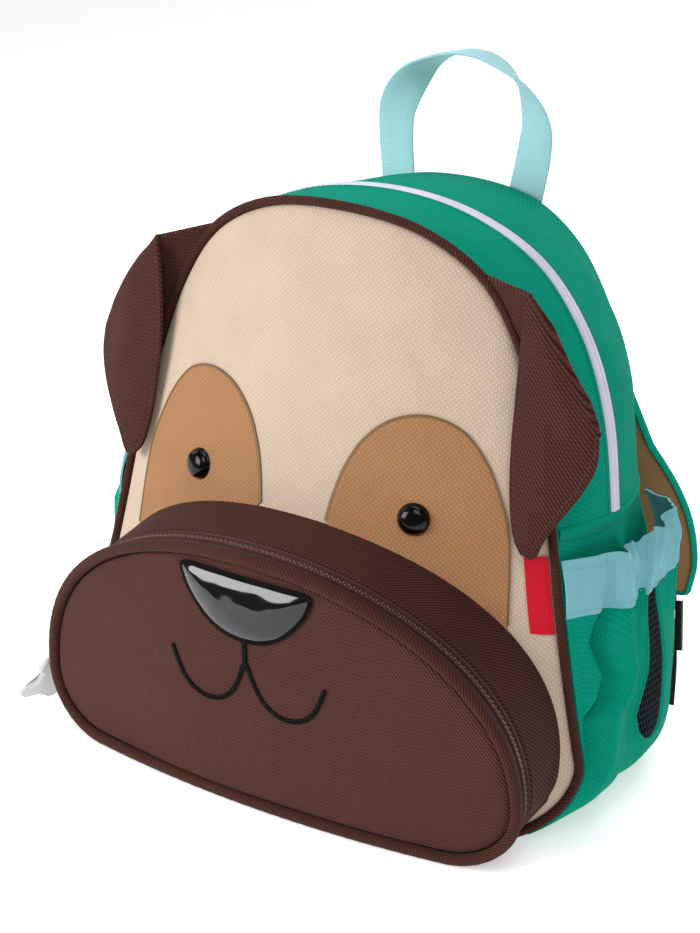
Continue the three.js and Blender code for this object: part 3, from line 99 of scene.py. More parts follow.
def catmull(points: Array, t: Array) -> Array:
    """A centripetal spline through points.

    Args:
        points: (n, k) corners of the curve.
        t: places along it, from 0 to 1.

    Returns:
        (m, k) points on the curve.
    """
    padded = np.vstack([2 * points[0] - points[1], points, 2 * points[-1] - points[-2]])
    at = np.clip(t, 0, 1) * (len(points) - 1)
    i = np.minimum(at.astype(int), len(points) - 2)
    w = (at - i)[:, None]
    p0, p1, p2, p3 = (padded[i + k] for k in range(4))
    d0, d1, d2 = (np.sqrt(np.maximum(np.linalg.norm(b - a, axis=1), 1e-6))[:, None]
                  for a, b in ((p0, p1), (p1, p2), (p2, p3)))
    m1 = ((p1 - p0) / d0 - (p2 - p0) / (d0 + d1) + (p2 - p1) / d1) * d1
    m2 = ((p2 - p1) / d1 - (p3 - p1) / (d1 + d2) + (p3 - p2) / d2) * d1
    return (p1 + m1 * w + (-3 * p1 + 3 * p2 - 2 * m1 - m2) * w ** 2
            + (2 * p1 - 2 * p2 + m1 + m2) * w ** 3)


def table_value(rows: Sequence[Sequence[float]], column: int, at: Array) -> Array:
    """A smooth value from a table.

    Args:
        rows: the table, whose first column rises.
        column: which column is read.
        at: values of the first column.

    Returns:
        The column's values there, level at both ends.
    """
    keys = np.array([row[0] for row in rows], float)
    values = np.array([row[column] for row in rows], float)
    last = len(rows) - 1
    x = np.clip(at, keys[0], keys[-1])
    i = np.clip(np.searchsorted(keys, x, side="right") - 1, 0, last - 1)
    t = (x - keys[i]) / (keys[i + 1] - keys[i])
    padded = np.concatenate([[values[0]], values, [values[-1]]])
    slopes = (padded[2:] - padded[:-2]) / 2
    return ((2 * t ** 3 - 3 * t ** 2 + 1) * values[i] + (t ** 3 - 2 * t ** 2 + t) * slopes[i]
            + (3 * t ** 2 - 2 * t ** 3) * values[i + 1] + (t ** 3 - t ** 2) * slopes[i + 1])


def ripple(x: Array, y: Array, wave: float, seed: int) -> Array:
    """Soft, repeatable unevenness.

    Args:
        x: places one way, in millimetres.
        y: places the other way.
        wave: about how far apart its bumps are.
        seed: which bumps it has.

    Returns:
        Heights between about -1 and 1.
    """
    rng = np.random.default_rng(seed)
    total = np.zeros(np.broadcast(x, y).shape)
    for _ in range(7):
        angle = rng.uniform(0, TAU)
        length = wave * rng.uniform(0.7, 1.6)
        along = x * math.cos(angle) + y * math.sin(angle)
        total = total + np.sin(along * TAU / length + rng.uniform(0, TAU))
    return total / 3.5


def grid_normals(p: Array, wrap: bool = False) -> Array:
    """Normals of a grid of points, by differences.

    Args:
        p: (rows, columns, 3) points.
        wrap: whether the last column meets the first.

    Returns:
        Unit normals, one a point.
    """
    down = np.gradient(p, axis=0)
    if wrap:
        across = np.roll(p, -1, axis=1) - np.roll(p, 1, axis=1)
    else:
        across = np.gradient(p, axis=1)
    return unit(np.cross(down, across))


def lengths_along(p: Array, axis: int) -> Array:
    """Distance along a grid of points from its start, down one axis.

    Args:
        p: the points.
        axis: 0 to go down the rows, 1 to go along them.

    Returns:
        The distances, one a point.
    """
    steps = np.linalg.norm(np.diff(p, axis=axis), axis=-1)
    pad = [(0, 0)] * steps.ndim
    pad[axis] = (1, 0)
    return np.pad(np.cumsum(steps, axis=axis), pad)


# Finishes


def linear(hex_colour: str) -> tuple[float, float, float, float]:
    """A screen colour such as 'a97a50' in linear light."""
    raw = [int(hex_colour[k:k + 2], 16) / 255 for k in (0, 2, 4)]
    return (*(c / 12.92 if c <= 0.04045 else ((c + 0.055) / 1.055) ** 2.4 for c in raw), 1.0)


def add_node(tree: bpy.types.NodeTree, kind: str, links: dict | None = None, **settings) -> bpy.types.Node:
    """Adds a shader node.

    Args:
        tree: the material's nodes.
        kind: the node's type, without its ShaderNode prefix.
        links: socket name or number to a value or to another node's output.
        settings: properties of the node.

    Returns:
        The node.
    """
    made = tree.nodes.new("ShaderNode" + kind)
    for key, value in settings.items():
        setattr(made, key, value)
    for key, value in (links or {}).items():
        if isinstance(value, bpy.types.NodeSocket):
            tree.links.new(value, made.inputs[key])
        else:
            made.inputs[key].default_value = value
    return made


class Weave(Enum):
    """How a cloth's threads cross."""

    PLAIN = "plain"
    TWILL = "twill"
    RIB = "rib"


@dataclass(frozen=True)
class Cloth:
    """A woven cloth: threads `pitch` apart that catch the light one by one, with painted shade between them
    and a painted highlight on their tops.
    """

    name: str
    colour: str
    weave: Weave = Weave.PLAIN
    pitch: float = 1.1
    bump: float = 0.5
    # how much darker the gaps between threads are painted as shade, and how much lighter their tops are
    # painted as highlight
    contrast: float = 0.25
    sheen: float = 0.15
    roughness: float = 0.82
    shine: float = 0.1

    def recipe(self) -> dict[str, tuple]:
        """The weave as sums, each an operation on u, v, numbers or earlier steps.

        Returns:
            Each step's name with its operation and values; "height" comes last.
        """

        def ridges(name: str, value: str, pitch: float) -> dict[str, tuple]:
            """Steps that raise one rounded thread every `pitch` along a value."""
            turn, wave = f"{name} turn", f"{name} wave"
            return {turn: ("MULTIPLY", value, math.pi / pitch), wave: ("SINE", turn),
                    name: ("ABSOLUTE", wave)}

        if self.weave is Weave.TWILL:
            return {"slant": ("MULTIPLY_ADD", "v", 0.8, "u"), **ridges("rib", "slant", self.pitch),
                    **ridges("cross", "v", self.pitch), "share": ("MULTIPLY_ADD", "cross", 0.4, 0.6),
                    "height": ("MULTIPLY", "rib", "share")}
        if self.weave is Weave.RIB:
            return {**ridges("rib", "v", self.pitch), **ridges("cross", "u", self.pitch * 2),
                    "share": ("MULTIPLY_ADD", "cross", 0.3, 0.7), "height": ("MULTIPLY", "rib", "share")}
        return {**ridges("warp", "u", self.pitch), **ridges("weft", "v", self.pitch),
                "along": ("MULTIPLY", "over", "warp"), "rest": ("SUBTRACT", 1.0, "over"),
                "under": ("MULTIPLY", "rest", "weft"),
                "height": ("MULTIPLY_ADD", "under", 0.45, "along")}

    def threads(self, tree: bpy.types.NodeTree) -> bpy.types.NodeSocket:
        """Adds the weave's nodes.

        Args:
            tree: the material's nodes.

        Returns:
            The height of the threads, from 0 between them to 1 on top of one.
        """
        cloth = add_node(tree, "UVMap", uv_map="cloth").outputs[0]
        split = add_node(tree, "SeparateXYZ", {0: cloth})
        made = {"u": split.outputs[0], "v": split.outputs[1]}
        if self.weave is Weave.PLAIN:
            cell = add_node(tree, "CombineXYZ", {0: made["u"], 1: made["v"], 2: 0.0}).outputs[0]
            white, black = (1, 1, 1, 1), (0, 0, 0, 1)
            squares = {"Vector": cell, "Scale": 1 / self.pitch, "Color1": white, "Color2": black}
            made["over"] = add_node(tree, "TexChecker", squares).outputs["Fac"]
        for step, (operation, *values) in self.recipe().items():
            links = {k: made.get(value, value) for k, value in enumerate(values)}
            made[step] = add_node(tree, "Math", links, operation=operation).outputs[0]
        return made["height"]

    @cache
    def build(self) -> bpy.types.Material:
        """Makes the material, once."""
        material = bpy.data.materials.new(self.name)
        material.use_nodes = True
        tree = material.node_tree
        shader = tree.nodes["Principled BSDF"]
        height = self.threads(tree)
        place = add_node(tree, "TexCoord").outputs["Object"]
        cloud = add_node(tree, "TexNoise", {"Vector": place, "Scale": 45.0, "Detail": 3.0}).outputs["Fac"]
        fibre = add_node(tree, "TexNoise", {"Vector": place, "Scale": 900.0, "Detail": 2.0}).outputs["Fac"]
        base = linear(self.colour)
        # The threads' colour carries painted light: darker by `contrast` between the threads as painted
        # shade, lighter on their tops as painted highlight; the bump gives their real relief
        low = tuple(c * (1 - self.contrast) for c in base[:3]) + (1.0,)
        high = tuple(min(1.0, c * (1 + self.contrast * 0.6)) for c in base[:3]) + (1.0,)
        mixed = add_node(tree, "Mix", {"Factor": height, 6: low, 7: high}, data_type="RGBA").outputs[2]
        shade = add_node(tree, "Math", {0: cloud, 1: 0.2, 2: 0.9}, operation="MULTIPLY_ADD").outputs[0]
        tinted = add_node(tree, "HueSaturation", {"Value": shade, "Color": mixed}).outputs[0]
        relief = add_node(tree, "Math", {0: fibre, 1: 0.5, 2: height}, operation="MULTIPLY_ADD").outputs[0]
        bump = add_node(tree, "Bump", {"Height": relief, "Strength": self.bump, "Distance": 3e-4}).outputs[0]
        tree.links.new(tinted, shader.inputs["Base Color"])
        tree.links.new(bump, shader.inputs["Normal"])
        for socket, value in {"Roughness": self.roughness, "Specular IOR Level": self.shine,
                              "Sheen Weight": self.sheen, "Sheen Roughness": 0.5}.items():
            shader.inputs[socket].default_value = value
        return material


@dataclass(frozen=True)
class Smooth:
    """An unwoven finish: vinyl, moulded plastic, metal, rubber or thread."""

    name: str
    colour: str
    roughness: float
    metal: float = 0.0
    coat: float = 0.0
    clear: float = 0.0
    grain: float = 0.0
    shine: float = 0.5

    @cache
    def build(self) -> bpy.types.Material:
        """Makes the material, once."""
        material = bpy.data.materials.new(self.name)
        material.use_nodes = True
        tree = material.node_tree
        shader = tree.nodes["Principled BSDF"]
        place = add_node(tree, "TexCoord").outputs["Object"]
        noise = add_node(tree, "TexNoise", {"Vector": place, "Scale": 260.0, "Detail": 3.0}).outputs["Fac"]
        base = linear(self.colour)
        dark = tuple(c * 0.88 for c in base[:3]) + (1.0,)
        mixed = add_node(tree, "Mix", {"Factor": noise, 6: dark, 7: base}, data_type="RGBA").outputs[2]
        tree.links.new(mixed, shader.inputs["Base Color"])
        bump = add_node(tree, "Bump", {"Height": noise, "Strength": self.grain, "Distance": 2e-4}).outputs[0]
        tree.links.new(bump, shader.inputs["Normal"])
        for socket, value in {"Roughness": self.roughness, "Metallic": self.metal, "Coat Weight": self.coat,
                              "Coat Roughness": 0.03, "Specular IOR Level": self.shine,
                              "Transmission Weight": self.clear, "IOR": 1.45}.items():
            shader.inputs[socket].default_value = value
        return material


# Beige polyester canvas: matt square threads. The real ones are about 0.6 mm apart and would blur away
# at this size, so the beige, tan and green canvases draw them about twice as coarse
CREAM = Cloth("beige polyester canvas", "cbb6a1", contrast=0.22, pitch=1.25, sheen=0.03)
# Tan polyester of the eye patches: the same weave, browner
TAN = Cloth("tan polyester canvas", "a87b55", contrast=0.3, pitch=1.25, sheen=0.03)
# Dark brown polyester twill: slanted ribs with a faint sheen. The real ribs are under 1 mm apart
# and would blur away at this size, so every brown cloth draws them about twice as coarse
BROWN = Cloth("brown polyester twill", "462823", Weave.TWILL, pitch=1.9, contrast=0.8, sheen=0.02)
# The muzzle's brown canvas: the same slanted ribs, a little lighter, with more relief
MUZZLE = Cloth("brown polyester canvas", "4d2d28", Weave.TWILL, pitch=1.9, contrast=0.8, bump=0.7, sheen=0.02)
# The ears' brown canvas: dark and matt, its ribs the widest apart
EAR = Cloth("brown ear canvas", "4b2b26", Weave.TWILL, pitch=2.0, contrast=0.8, bump=0.7, sheen=0.02)
# Brown binding of the piping: darker, its ribs slanting round the cord
PIPING = Cloth("brown piping tape", "45261f", Weave.TWILL, pitch=1.9, contrast=0.8, bump=0.6, sheen=0.05)
# Teal green polyester canvas of the sides: matt and deep, its threads barely seen
GREEN = Cloth("green polyester canvas", "05947b", contrast=0.3, pitch=1.3, bump=0.4, sheen=0.0, shine=0.04)
# Pale aqua polyester of the pockets' hems: thin, soft and even. Its colour is set darker than the handle's
# aqua webbing as painted shade for the gathered hem
AQUA = Cloth("aqua polyester", "7cbac4", contrast=0.14, pitch=0.9, bump=0.35)
# The handle's webbing: fine ribs across its width
WEBBING_AQUA = Cloth("aqua webbing", "a2d4da", Weave.RIB, pitch=1.2, contrast=0.14)
# Black ribbed webbing
WEBBING = Cloth("black webbing", "17171a", Weave.RIB, pitch=1.2, contrast=0.3)
# Pale lavender zip tape with a fine herringbone
TAPE = Cloth("lavender zip tape", "d6d2e6", Weave.TWILL, pitch=0.6, contrast=0.1, bump=0.25)
# Brown zip tape of the muzzle
BROWN_TAPE = Cloth("brown zip tape", "3f231e", Weave.RIB, pitch=0.7, contrast=0.2, bump=0.3)
# Nylon coil: dark brown, slightly shiny
COIL = Smooth("brown nylon coil", "7a584d", 0.4)
# Black satin thread: dense and silky
THREAD = Smooth("black satin thread", "060506", 0.6, shine=0.12, grain=0.2)
# Olive-brown satin thread round the eye patches
OLIVE = Smooth("olive satin thread", "7d5a33", 0.5, grain=0.2)
# Sewing threads in the colours of their cloths
BROWN_THREAD = Smooth("brown thread", "5a352e", 0.55)
GREEN_THREAD = Smooth("green thread", "0c8064", 0.55)
AQUA_THREAD = Smooth("aqua thread", "7fc0c6", 0.55)
# Black coated vinyl of the nose: wet-looking gloss
GLOSS = Smooth("black gloss vinyl", "050505", 0.1, coat=0.4)
# Moulded plastic of the eye domes: black, with a soft dim shine
DOME = Smooth("black moulded eye plastic", "040404", 0.14, shine=0.3)
# Red woven ribbon, close and slightly shiny
RED = Cloth("red woven ribbon", "c8172a", Weave.RIB, pitch=0.5, contrast=0.1, bump=0.2, sheen=0.0,
            roughness=0.55)
# Black knitted mesh: its threads look dark grey before a near-black sheet behind them, painted shade for the
# shaded inside of the pocket that shows through the net
MESH = Smooth("black polyester mesh", "34383c", 0.8, shine=0.15, grain=0.4)
NET_SHADE_SHEET = Smooth("near-black sheet painted as shade behind the net", "07100e", 0.9, shine=0.05, grain=0.6)
# Soft see-through rubber of the zip pulls
RUBBER = Smooth("translucent rubber", "dcdddc", 0.35, clear=0.35, grain=0.1)
# Dark lacquered metal of the sliders
METAL = Smooth("dark lacquered metal", "4a4441", 0.35, metal=0.9)
# Matt black moulded plastic of the ladder locks
PLASTIC = Smooth("black moulded plastic", "151516", 0.4, grain=0.15)


# Meshes


@dataclass
class Piece:
    """A finished piece and the CAD nodes that it stands for."""

    obj: bpy.types.Object
    nodes: tuple[str, ...]
    body: str = "bag"
    slot: str = ""
    fill: float | None = None

    def register(self) -> None:
        """Puts the piece on its body in the frame."""
        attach(self.obj, self.body)
        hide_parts(*self.nodes)
        LOG.info("%s: %d faces for %s", self.obj.name, len(self.obj.data.polygons), ", ".join(self.nodes))


class MeshBuilder:
    """Collects corners, faces and cloth coordinates of one piece, and makes its object."""

    def __init__(self) -> None:
        """Starts empty."""
        self.points: list[Array] = []
        self.uvs: list[Array] = []
        self.faces: list[list[int]] = []
        self.marks: list[int] = []
        self.count = 0

    def add_points(self, points: Array, uv: Array) -> int:
        """Adds corners.

        Args:
            points: the corners.
            uv: their cloth coordinates in millimetres.

        Returns:
            The number of the first corner.
        """
        start = self.count
        flat = points.reshape(-1, 3)
        self.points.append(flat)
        self.uvs.append(uv.reshape(-1, 2))
        self.count += len(flat)
        return start

    def add_quads(self, quads: Array, mark: int = 0) -> None:
        """Adds four-cornered faces that take material number `mark`."""
        self.faces.extend(quads.tolist())
        self.marks.extend([mark] * len(quads))

    def grid(self, p: Array, uv: Array, wrap: bool = False, flip: bool = False, mark: int = 0) -> Array:
        """Adds a sheet over a grid of points.

        Args:
            p: (rows, columns, 3) points.
            uv: their cloth coordinates in millimetres.
            wrap: whether the last column meets the first.
            flip: whether its outside is turned over.
            mark: which material it takes.

        Returns:
            The numbers of its corners.
        """
        rows, cols = p.shape[:2]
        index = self.add_points(p, uv) + np.arange(rows * cols).reshape(rows, cols)
        right = np.roll(index, -1, axis=1) if wrap else index[:, 1:]
        left = index if wrap else index[:, :-1]
        quads = join(left[:-1], left[1:], right[1:], right[:-1]).reshape(-1, 4)
        self.add_quads(quads[:, ::-1] if flip else quads, mark)
        return index

    def strip(self, a: Array, b: Array, wrap: bool = False, mark: int = 0) -> None:
        """Joins two rows of corners with faces."""
        if wrap:
            a, b = np.append(a, a[0]), np.append(b, b[0])
        self.add_quads(join(a[:-1], a[1:], b[1:], b[:-1]), mark)

    def shell(self, outer: Array, inner: Array, uv: Array, wrap: bool = False) -> None:
        """Adds cloth with two faces, closed along its edges.

        Args:
            outer: points of the outside.
            inner: points of the inside.
            uv: cloth coordinates in millimetres.
            wrap: whether the last column meets the first.
        """
        front = self.grid(outer, uv, wrap)
        back = self.grid(inner, uv, wrap, flip=True)
        self.strip(back[0], front[0], wrap)
        self.strip(front[-1], back[-1], wrap)
        if not wrap:
            self.strip(front[:, 0], back[:, 0])
            self.strip(back[:, -1], front[:, -1])

    def tube(self, path: Array, across: Array, out: Array, section: Callable[[int], Array],
             closed: bool = False) -> None:
        """Adds a section carried along a path.

        Args:
            path: (n, 3) points.
            across: the section's first axis at each point.
            out: its second axis at each point.
            section: corners of the section at a point, along the two axes.
            closed: whether the path runs back to its start.
        """
        across, out = (np.broadcast_to(v, path.shape) for v in (across, out))
        rings = np.array([path[i] + s[:, :1] * across[i] + s[:, 1:] * out[i]
                          for i, s in ((i, section(i)) for i in range(len(path)))])
        run = lengths_along(rings[:, :1], 0)[:, 0]
        turn = lengths_along(np.concatenate([rings[:1], rings[:1, :1]], axis=1), 1)[0, :-1]
        index = self.grid(rings, join(turn[None, :], run[:, None]), wrap=True)
        if closed:
            self.strip(index[-1], index[0], wrap=True)
        else:
            self.faces.append(index[0][::-1].tolist())
            self.faces.append(index[-1].tolist())
            self.marks.extend([0, 0])

    def spindles(self, a: Array, b: Array, radius: float, lift: Array, mark: int = 0) -> None:
        """Adds one short thread between each pair of points.

        Args:
            a: where the threads start.
            b: where they end.
            radius: half their thickness.
            lift: the way their middles are raised.
            mark: which material they take.
        """
        along = unit(b - a)
        side = unit(np.cross(along, lift))
        top = np.cross(side, along)
        rows = []
        for t, scale in ((0.0, 0.35), (0.2, 1.0), (0.8, 1.0), (1.0, 0.35)):
            middle = lerp(a, b, t)
            for k in range(5):
                angle = TAU * k / 5
                rows.append(middle + radius * scale * (math.cos(angle) * side + math.sin(angle) * top))
        p = np.stack(rows, axis=1)
        base = self.add_points(p, np.zeros(p.shape[:2] + (2,))) + 20 * np.arange(len(a))[:, None, None]
        ring = np.arange(5)
        local = [join(s * 5 + ring, s * 5 + (ring + 1) % 5, s * 5 + 5 + (ring + 1) % 5, s * 5 + 5 + ring)
                 for s in range(3)]
        self.add_quads((base + np.concatenate(local)[None]).reshape(-1, 4), mark)

    def make(self, name: str, materials: Sequence[Cloth | Smooth], sharp: float = 38,
             turned: bool = False) -> bpy.types.Object:
        """Makes the object.

        Args:
            name: the object's name.
            materials: its materials, in the order of the faces' marks.
            sharp: the angle in degrees above which an edge isn't shaded smooth.
            turned: whether its faces are turned so that they all point out.

        Returns:
            The object, linked to the scene.
        """
        points = np.concatenate(self.points) * MM
        mesh = bpy.data.meshes.new(name)
        mesh.from_pydata(points.tolist(), [], self.faces)
        loops = np.zeros(len(mesh.loops), dtype=np.int32)
        mesh.loops.foreach_get("vertex_index", loops)
        layer = mesh.uv_layers.new(name="cloth")
        layer.data.foreach_set("uv", np.concatenate(self.uvs)[loops].astype(np.float32).ravel())
        for material in materials:
            mesh.materials.append(material.build())
        mesh.polygons.foreach_set("material_index", np.array(self.marks, dtype=np.int32))
        mesh.polygons.foreach_set("use_smooth", np.ones(len(mesh.polygons), dtype=bool))
        mesh.update()
        mesh.set_sharp_from_angle(angle=math.radians(sharp))
        made = bpy.data.objects.new(name, mesh)
        bpy.context.scene.collection.objects.link(made)
        if turned:
            work = bmesh.new()
            work.from_mesh(mesh)
            bmesh.ops.recalc_face_normals(work, faces=work.faces)
            work.to_mesh(mesh)
            work.free()
        return made

    def piece(self, node: str, part: str, materials: Sequence[Cloth | Smooth], slot: str, sharp: float = 38,
              fill: float | None = None, body: str = "bag", turned: bool = True) -> Piece:
        """Makes the object of a CAD node, named from the node and from what it is made of.

        Args:
            node: the CAD node that it replaces.
            part: the rest of its name.
            materials: its materials, in the order of the faces' marks.
            slot: its material slot.
            sharp: the angle in degrees above which an edge isn't shaded smooth.
            fill: how full it is, where it is padded.
            body: the body that it rides on.
            turned: whether its faces are turned so that they all point out.

        Returns:
            The piece.
        """
        return Piece(self.make(f"{node}_{part}", materials, sharp, turned), (node,), body, slot, fill)


def frames_along(path: Array, out: Array, closed: bool = False) -> tuple[Array, Array]:
    """Section axes along a path.

    Args:
        path: (n, 3) points.
        out: where the outside is, one direction for all or one a point.
        closed: whether the path runs back to its start.

    Returns:
        Axes across the path, and axes as near to `out` as they can be.
    """
    if closed:
        along = unit(np.roll(path, -1, axis=0) - np.roll(path, 1, axis=0))
    else:
        along = unit(np.gradient(path, axis=0))
    across = unit(np.cross(along, out))
    return across, np.cross(across, along)


def resample(path: Array, step: float, closed: bool = False) -> Array:
    """Points at even steps along a path.

    Args:
        path: (n, k) corners; columns after the third are carried along.
        step: about how far apart the points are.
        closed: whether the path runs back to its start.

    Returns:
        (m, k) points.
    """
    if closed:
        path = np.vstack([path, path[:1]])
    run = lengths_along(path[:, None], 0)[:, 0]
    count = max(int(run[-1] / step), 2)
    at = np.linspace(0, run[-1], count + 1)
    if closed:
        at = at[:-1]
    return np.stack([np.interp(at, run, path[:, k]) for k in range(path.shape[1])], axis=-1)


def round_section(radius: float, sides: int) -> Array:
    """Corners of a round section."""
    angle = TAU * np.arange(sides) / sides
    return radius * join(np.cos(angle), np.sin(angle))


def soft_section(width: float, wall: float, edge: float) -> Array:
    """Corners of a flat section with rounded edges.

    Args:
        width: its width.
        wall: its thickness.
        edge: how far in its rounding starts.

    Returns:
        (n, 2) corners, across and out.
    """
    half, high = width / 2, wall / 2
    flat = half - edge
    turn = np.linspace(-math.pi / 2, math.pi / 2, 5)
    right = join(flat + edge * np.cos(turn), high * np.sin(turn))
    inner = np.linspace(flat, -flat, 5)[1:-1]
    top = join(inner, np.full(3, high))
    return np.vstack([right, top, -right, -top])


# The bag's form


@dataclass(frozen=True)
class BagForm:
    """The bag's outside: three rings of seam, at the face, along the main zip and at the wearer's back."""

    height: float = 300
    back_height: float = 296
    half_width: float = 146
    back_half_width: float = 130
    corner: float = 40
    front_foot_y: float = -62
    lean: float = 42
    recess: float = 40
    foot_recess: float = 14
    puff: float = 8
    zip_y: float = 34
    zip_share: float = 0.38
    back_foot_y: float = 124
    back_lean: float = 15
    back_puff: float = 5
    seam_lift: float = 2.8
    settle: float = 0.12
    # height share, then half width shares of the front, zip and back rings
    rows: tuple = ((0.38, 0.896, 0.952, 0.93), (0.54, 0.83, 0.914, 0.815), (0.7, 0.75, 0.853, 0.765),
                   (0.82, 0.66, 0.747, 0.66), (0.92, 0.52, 0.568, 0.508), (0.98, 0.305, 0.308, 0.31))
    foot_end: float = 0.2
    corner_end: float = 0.32
    side_seam: float = 0.32 + 0.68 * 2 / 7

    def ring(self, which: int) -> Array:
        """One ring round the bag.

        Args:
            which: 1 for the front seam, 2 for the zip, 3 for the back seam.

        Returns:
            Rows a, x and z, where a is 0 at the middle of the foot and 1 at the top.
        """
        half = (self.half_width, self.half_width, self.back_half_width)[which - 1]
        tall = (self.height, self.height, self.back_height)[which - 1]
        foot = self.seam_lift if which == 1 else 0.0
        arch = [(row[which] * half, row[0] * tall) for row in self.rows]
        right = [(half, foot + self.corner)] + arch + [(0, tall)]
        loop = np.array(right + [(-x, z) for x, z in right[-2::-1]], float)
        turn = np.linspace(0, math.pi / 2, 60)
        upper = catmull(loop, np.linspace(0, 0.5, 400))
        a = np.concatenate([[0, self.foot_end], lerp(self.foot_end, self.corner_end, turn / turn[-1])[1:],
                            np.linspace(self.corner_end, 1, 400)[1:]])
        corner_x, corner_z = half - self.corner * (1 - np.sin(turn)), foot + self.corner * (1 - np.cos(turn))
        x = np.concatenate([[0, half - self.corner], corner_x[1:], upper[1:, 0]])
        z = np.concatenate([[foot, foot], corner_z[1:], upper[1:, 1]])
        return np.stack([a, x, z])

    def __post_init__(self) -> None:
        """Works out the rings once."""
        object.__setattr__(self, "rings", [self.ring(k) for k in (1, 2, 3)])

    def ring_at(self, which: int, a: Array) -> tuple[Array, Array]:
        """x and z of a ring at places along it."""
        table = self.rings[which - 1]
        return np.interp(a, table[0], table[1]), np.interp(a, table[0], table[2])

    def front_seam_y(self, x: Array, z: Array) -> Array:
        """Depth of the front seam."""
        share = z / self.height
        recess = self.recess + self.foot_recess * (1 - share) ** 3
        return self.front_foot_y + self.lean * share + recess * (x / self.half_width) ** 2

    def back_seam_y(self, z: Array) -> Array:
        """Depth of the back seam."""
        return self.back_foot_y - self.back_lean * z / self.height

    def outside(self, a: Array, v: Array) -> Array:
        """The gusset's outside.

        Args:
            a: places up the ring, signed with the side.
            v: shares from the front seam to the back seam.

        Returns:
            The points.
        """
        a, v = np.broadcast_arrays(a, v)
        side, way = np.where(a < 0, -1.0, 1.0), np.abs(a)
        (fx, fz), (mx, mz), (bx, bz) = (self.ring_at(k, way) for k in (1, 2, 3))
        settled = 1 - np.maximum(0, 1 - v / self.settle) ** 2
        fz = fz - settled * self.seam_lift * np.clip(1 - (fz - self.seam_lift) / self.corner, 0, 1)
        s = self.zip_share
        wf, wm, wb = (v - s) * (v - 1) / s, v * (v - 1) / (s * (s - 1)), v * (v - s) / (1 - s)
        x = wf * fx + wm * mx + wb * bx
        y = wf * self.front_seam_y(fx, fz) + wm * self.zip_y + wb * self.back_seam_y(bz)
        z = np.maximum(wf * fz + wm * mz + wb * bz, 0)
        return join(side * x, y, z)

    def normals(self, a: Array, v: Array) -> Array:
        """Normals of the gusset's outside, pointing out.

        Args:
            a: places up the ring, signed with the side.
            v: shares from the front seam to the back seam.

        Returns:
            Unit normals, one a place.
        """
        step = 1e-3
        a, v = np.broadcast_arrays(a, v)
        side = np.where(a < 0, -1.0, 1.0)
        low, high = (side * np.clip(np.abs(a) + k * step, 0, 1) for k in (-1, 1))
        along = self.outside(high, v) - self.outside(low, v)
        deep = self.outside(a, v + step) - self.outside(a, v - step)
        return unit(np.cross(deep, along)) * side[..., None]

    def half_at(self, which: int, z: Array) -> Array:
        """Half width of a ring at a height."""
        table = self.rings[which - 1][:, 1:]
        return np.interp(z, table[2], table[1])

    def crown(self, width: Array, x: Array, z: Array, tall: float) -> Array:
        """How far a stuffed panel stands out, from 0 at its seam to 1."""
        across = np.maximum(0, 1 - (x / np.maximum(width, 1e-6)) ** 2)
        return across * np.sin(math.pi * np.clip(z / tall, 0, 1)) ** 0.6

    def panel_y(self, x: Array, z: Array) -> Array:
        """Depth of the face's outside."""
        return self.front_seam_y(x, z) - self.puff * self.crown(self.half_at(1, z), x, z, self.height)

    def back_y(self, x: Array, z: Array) -> Array:
        """Depth of the back's outside."""
        return self.back_seam_y(z) + self.back_puff * self.crown(self.half_at(3, z), x, z, self.back_height)

    def loop(self, which: int, inset: float) -> Array:
        """A closed ring of (x, z), moved towards its middle."""
        return mirrored_loop(*self.ring_at(which, np.linspace(0, 1, 181)), 2.4, inset)


def leftward(p: Array) -> Array:
    """Directions to the left of a closed outline."""
    along = unit(np.roll(p, -1, axis=0) - np.roll(p, 1, axis=0))
    return join(-along[:, 1], along[:, 0])


def mirrored_loop(x: Array, z: Array, step: float, inset: float) -> Array:
    """A closed outline from its right half.

    Args:
        x: distances from the middle, from the foot up.
        z: heights.
        step: distance between its corners.
        inset: how far it is moved towards its middle.

    Returns:
        (n, 2) corners of x and z.
    """
    p = resample(np.concatenate([join(x, z), join(-x, z)[-2:0:-1]]), step, closed=True)
    return p + inset * leftward(p)


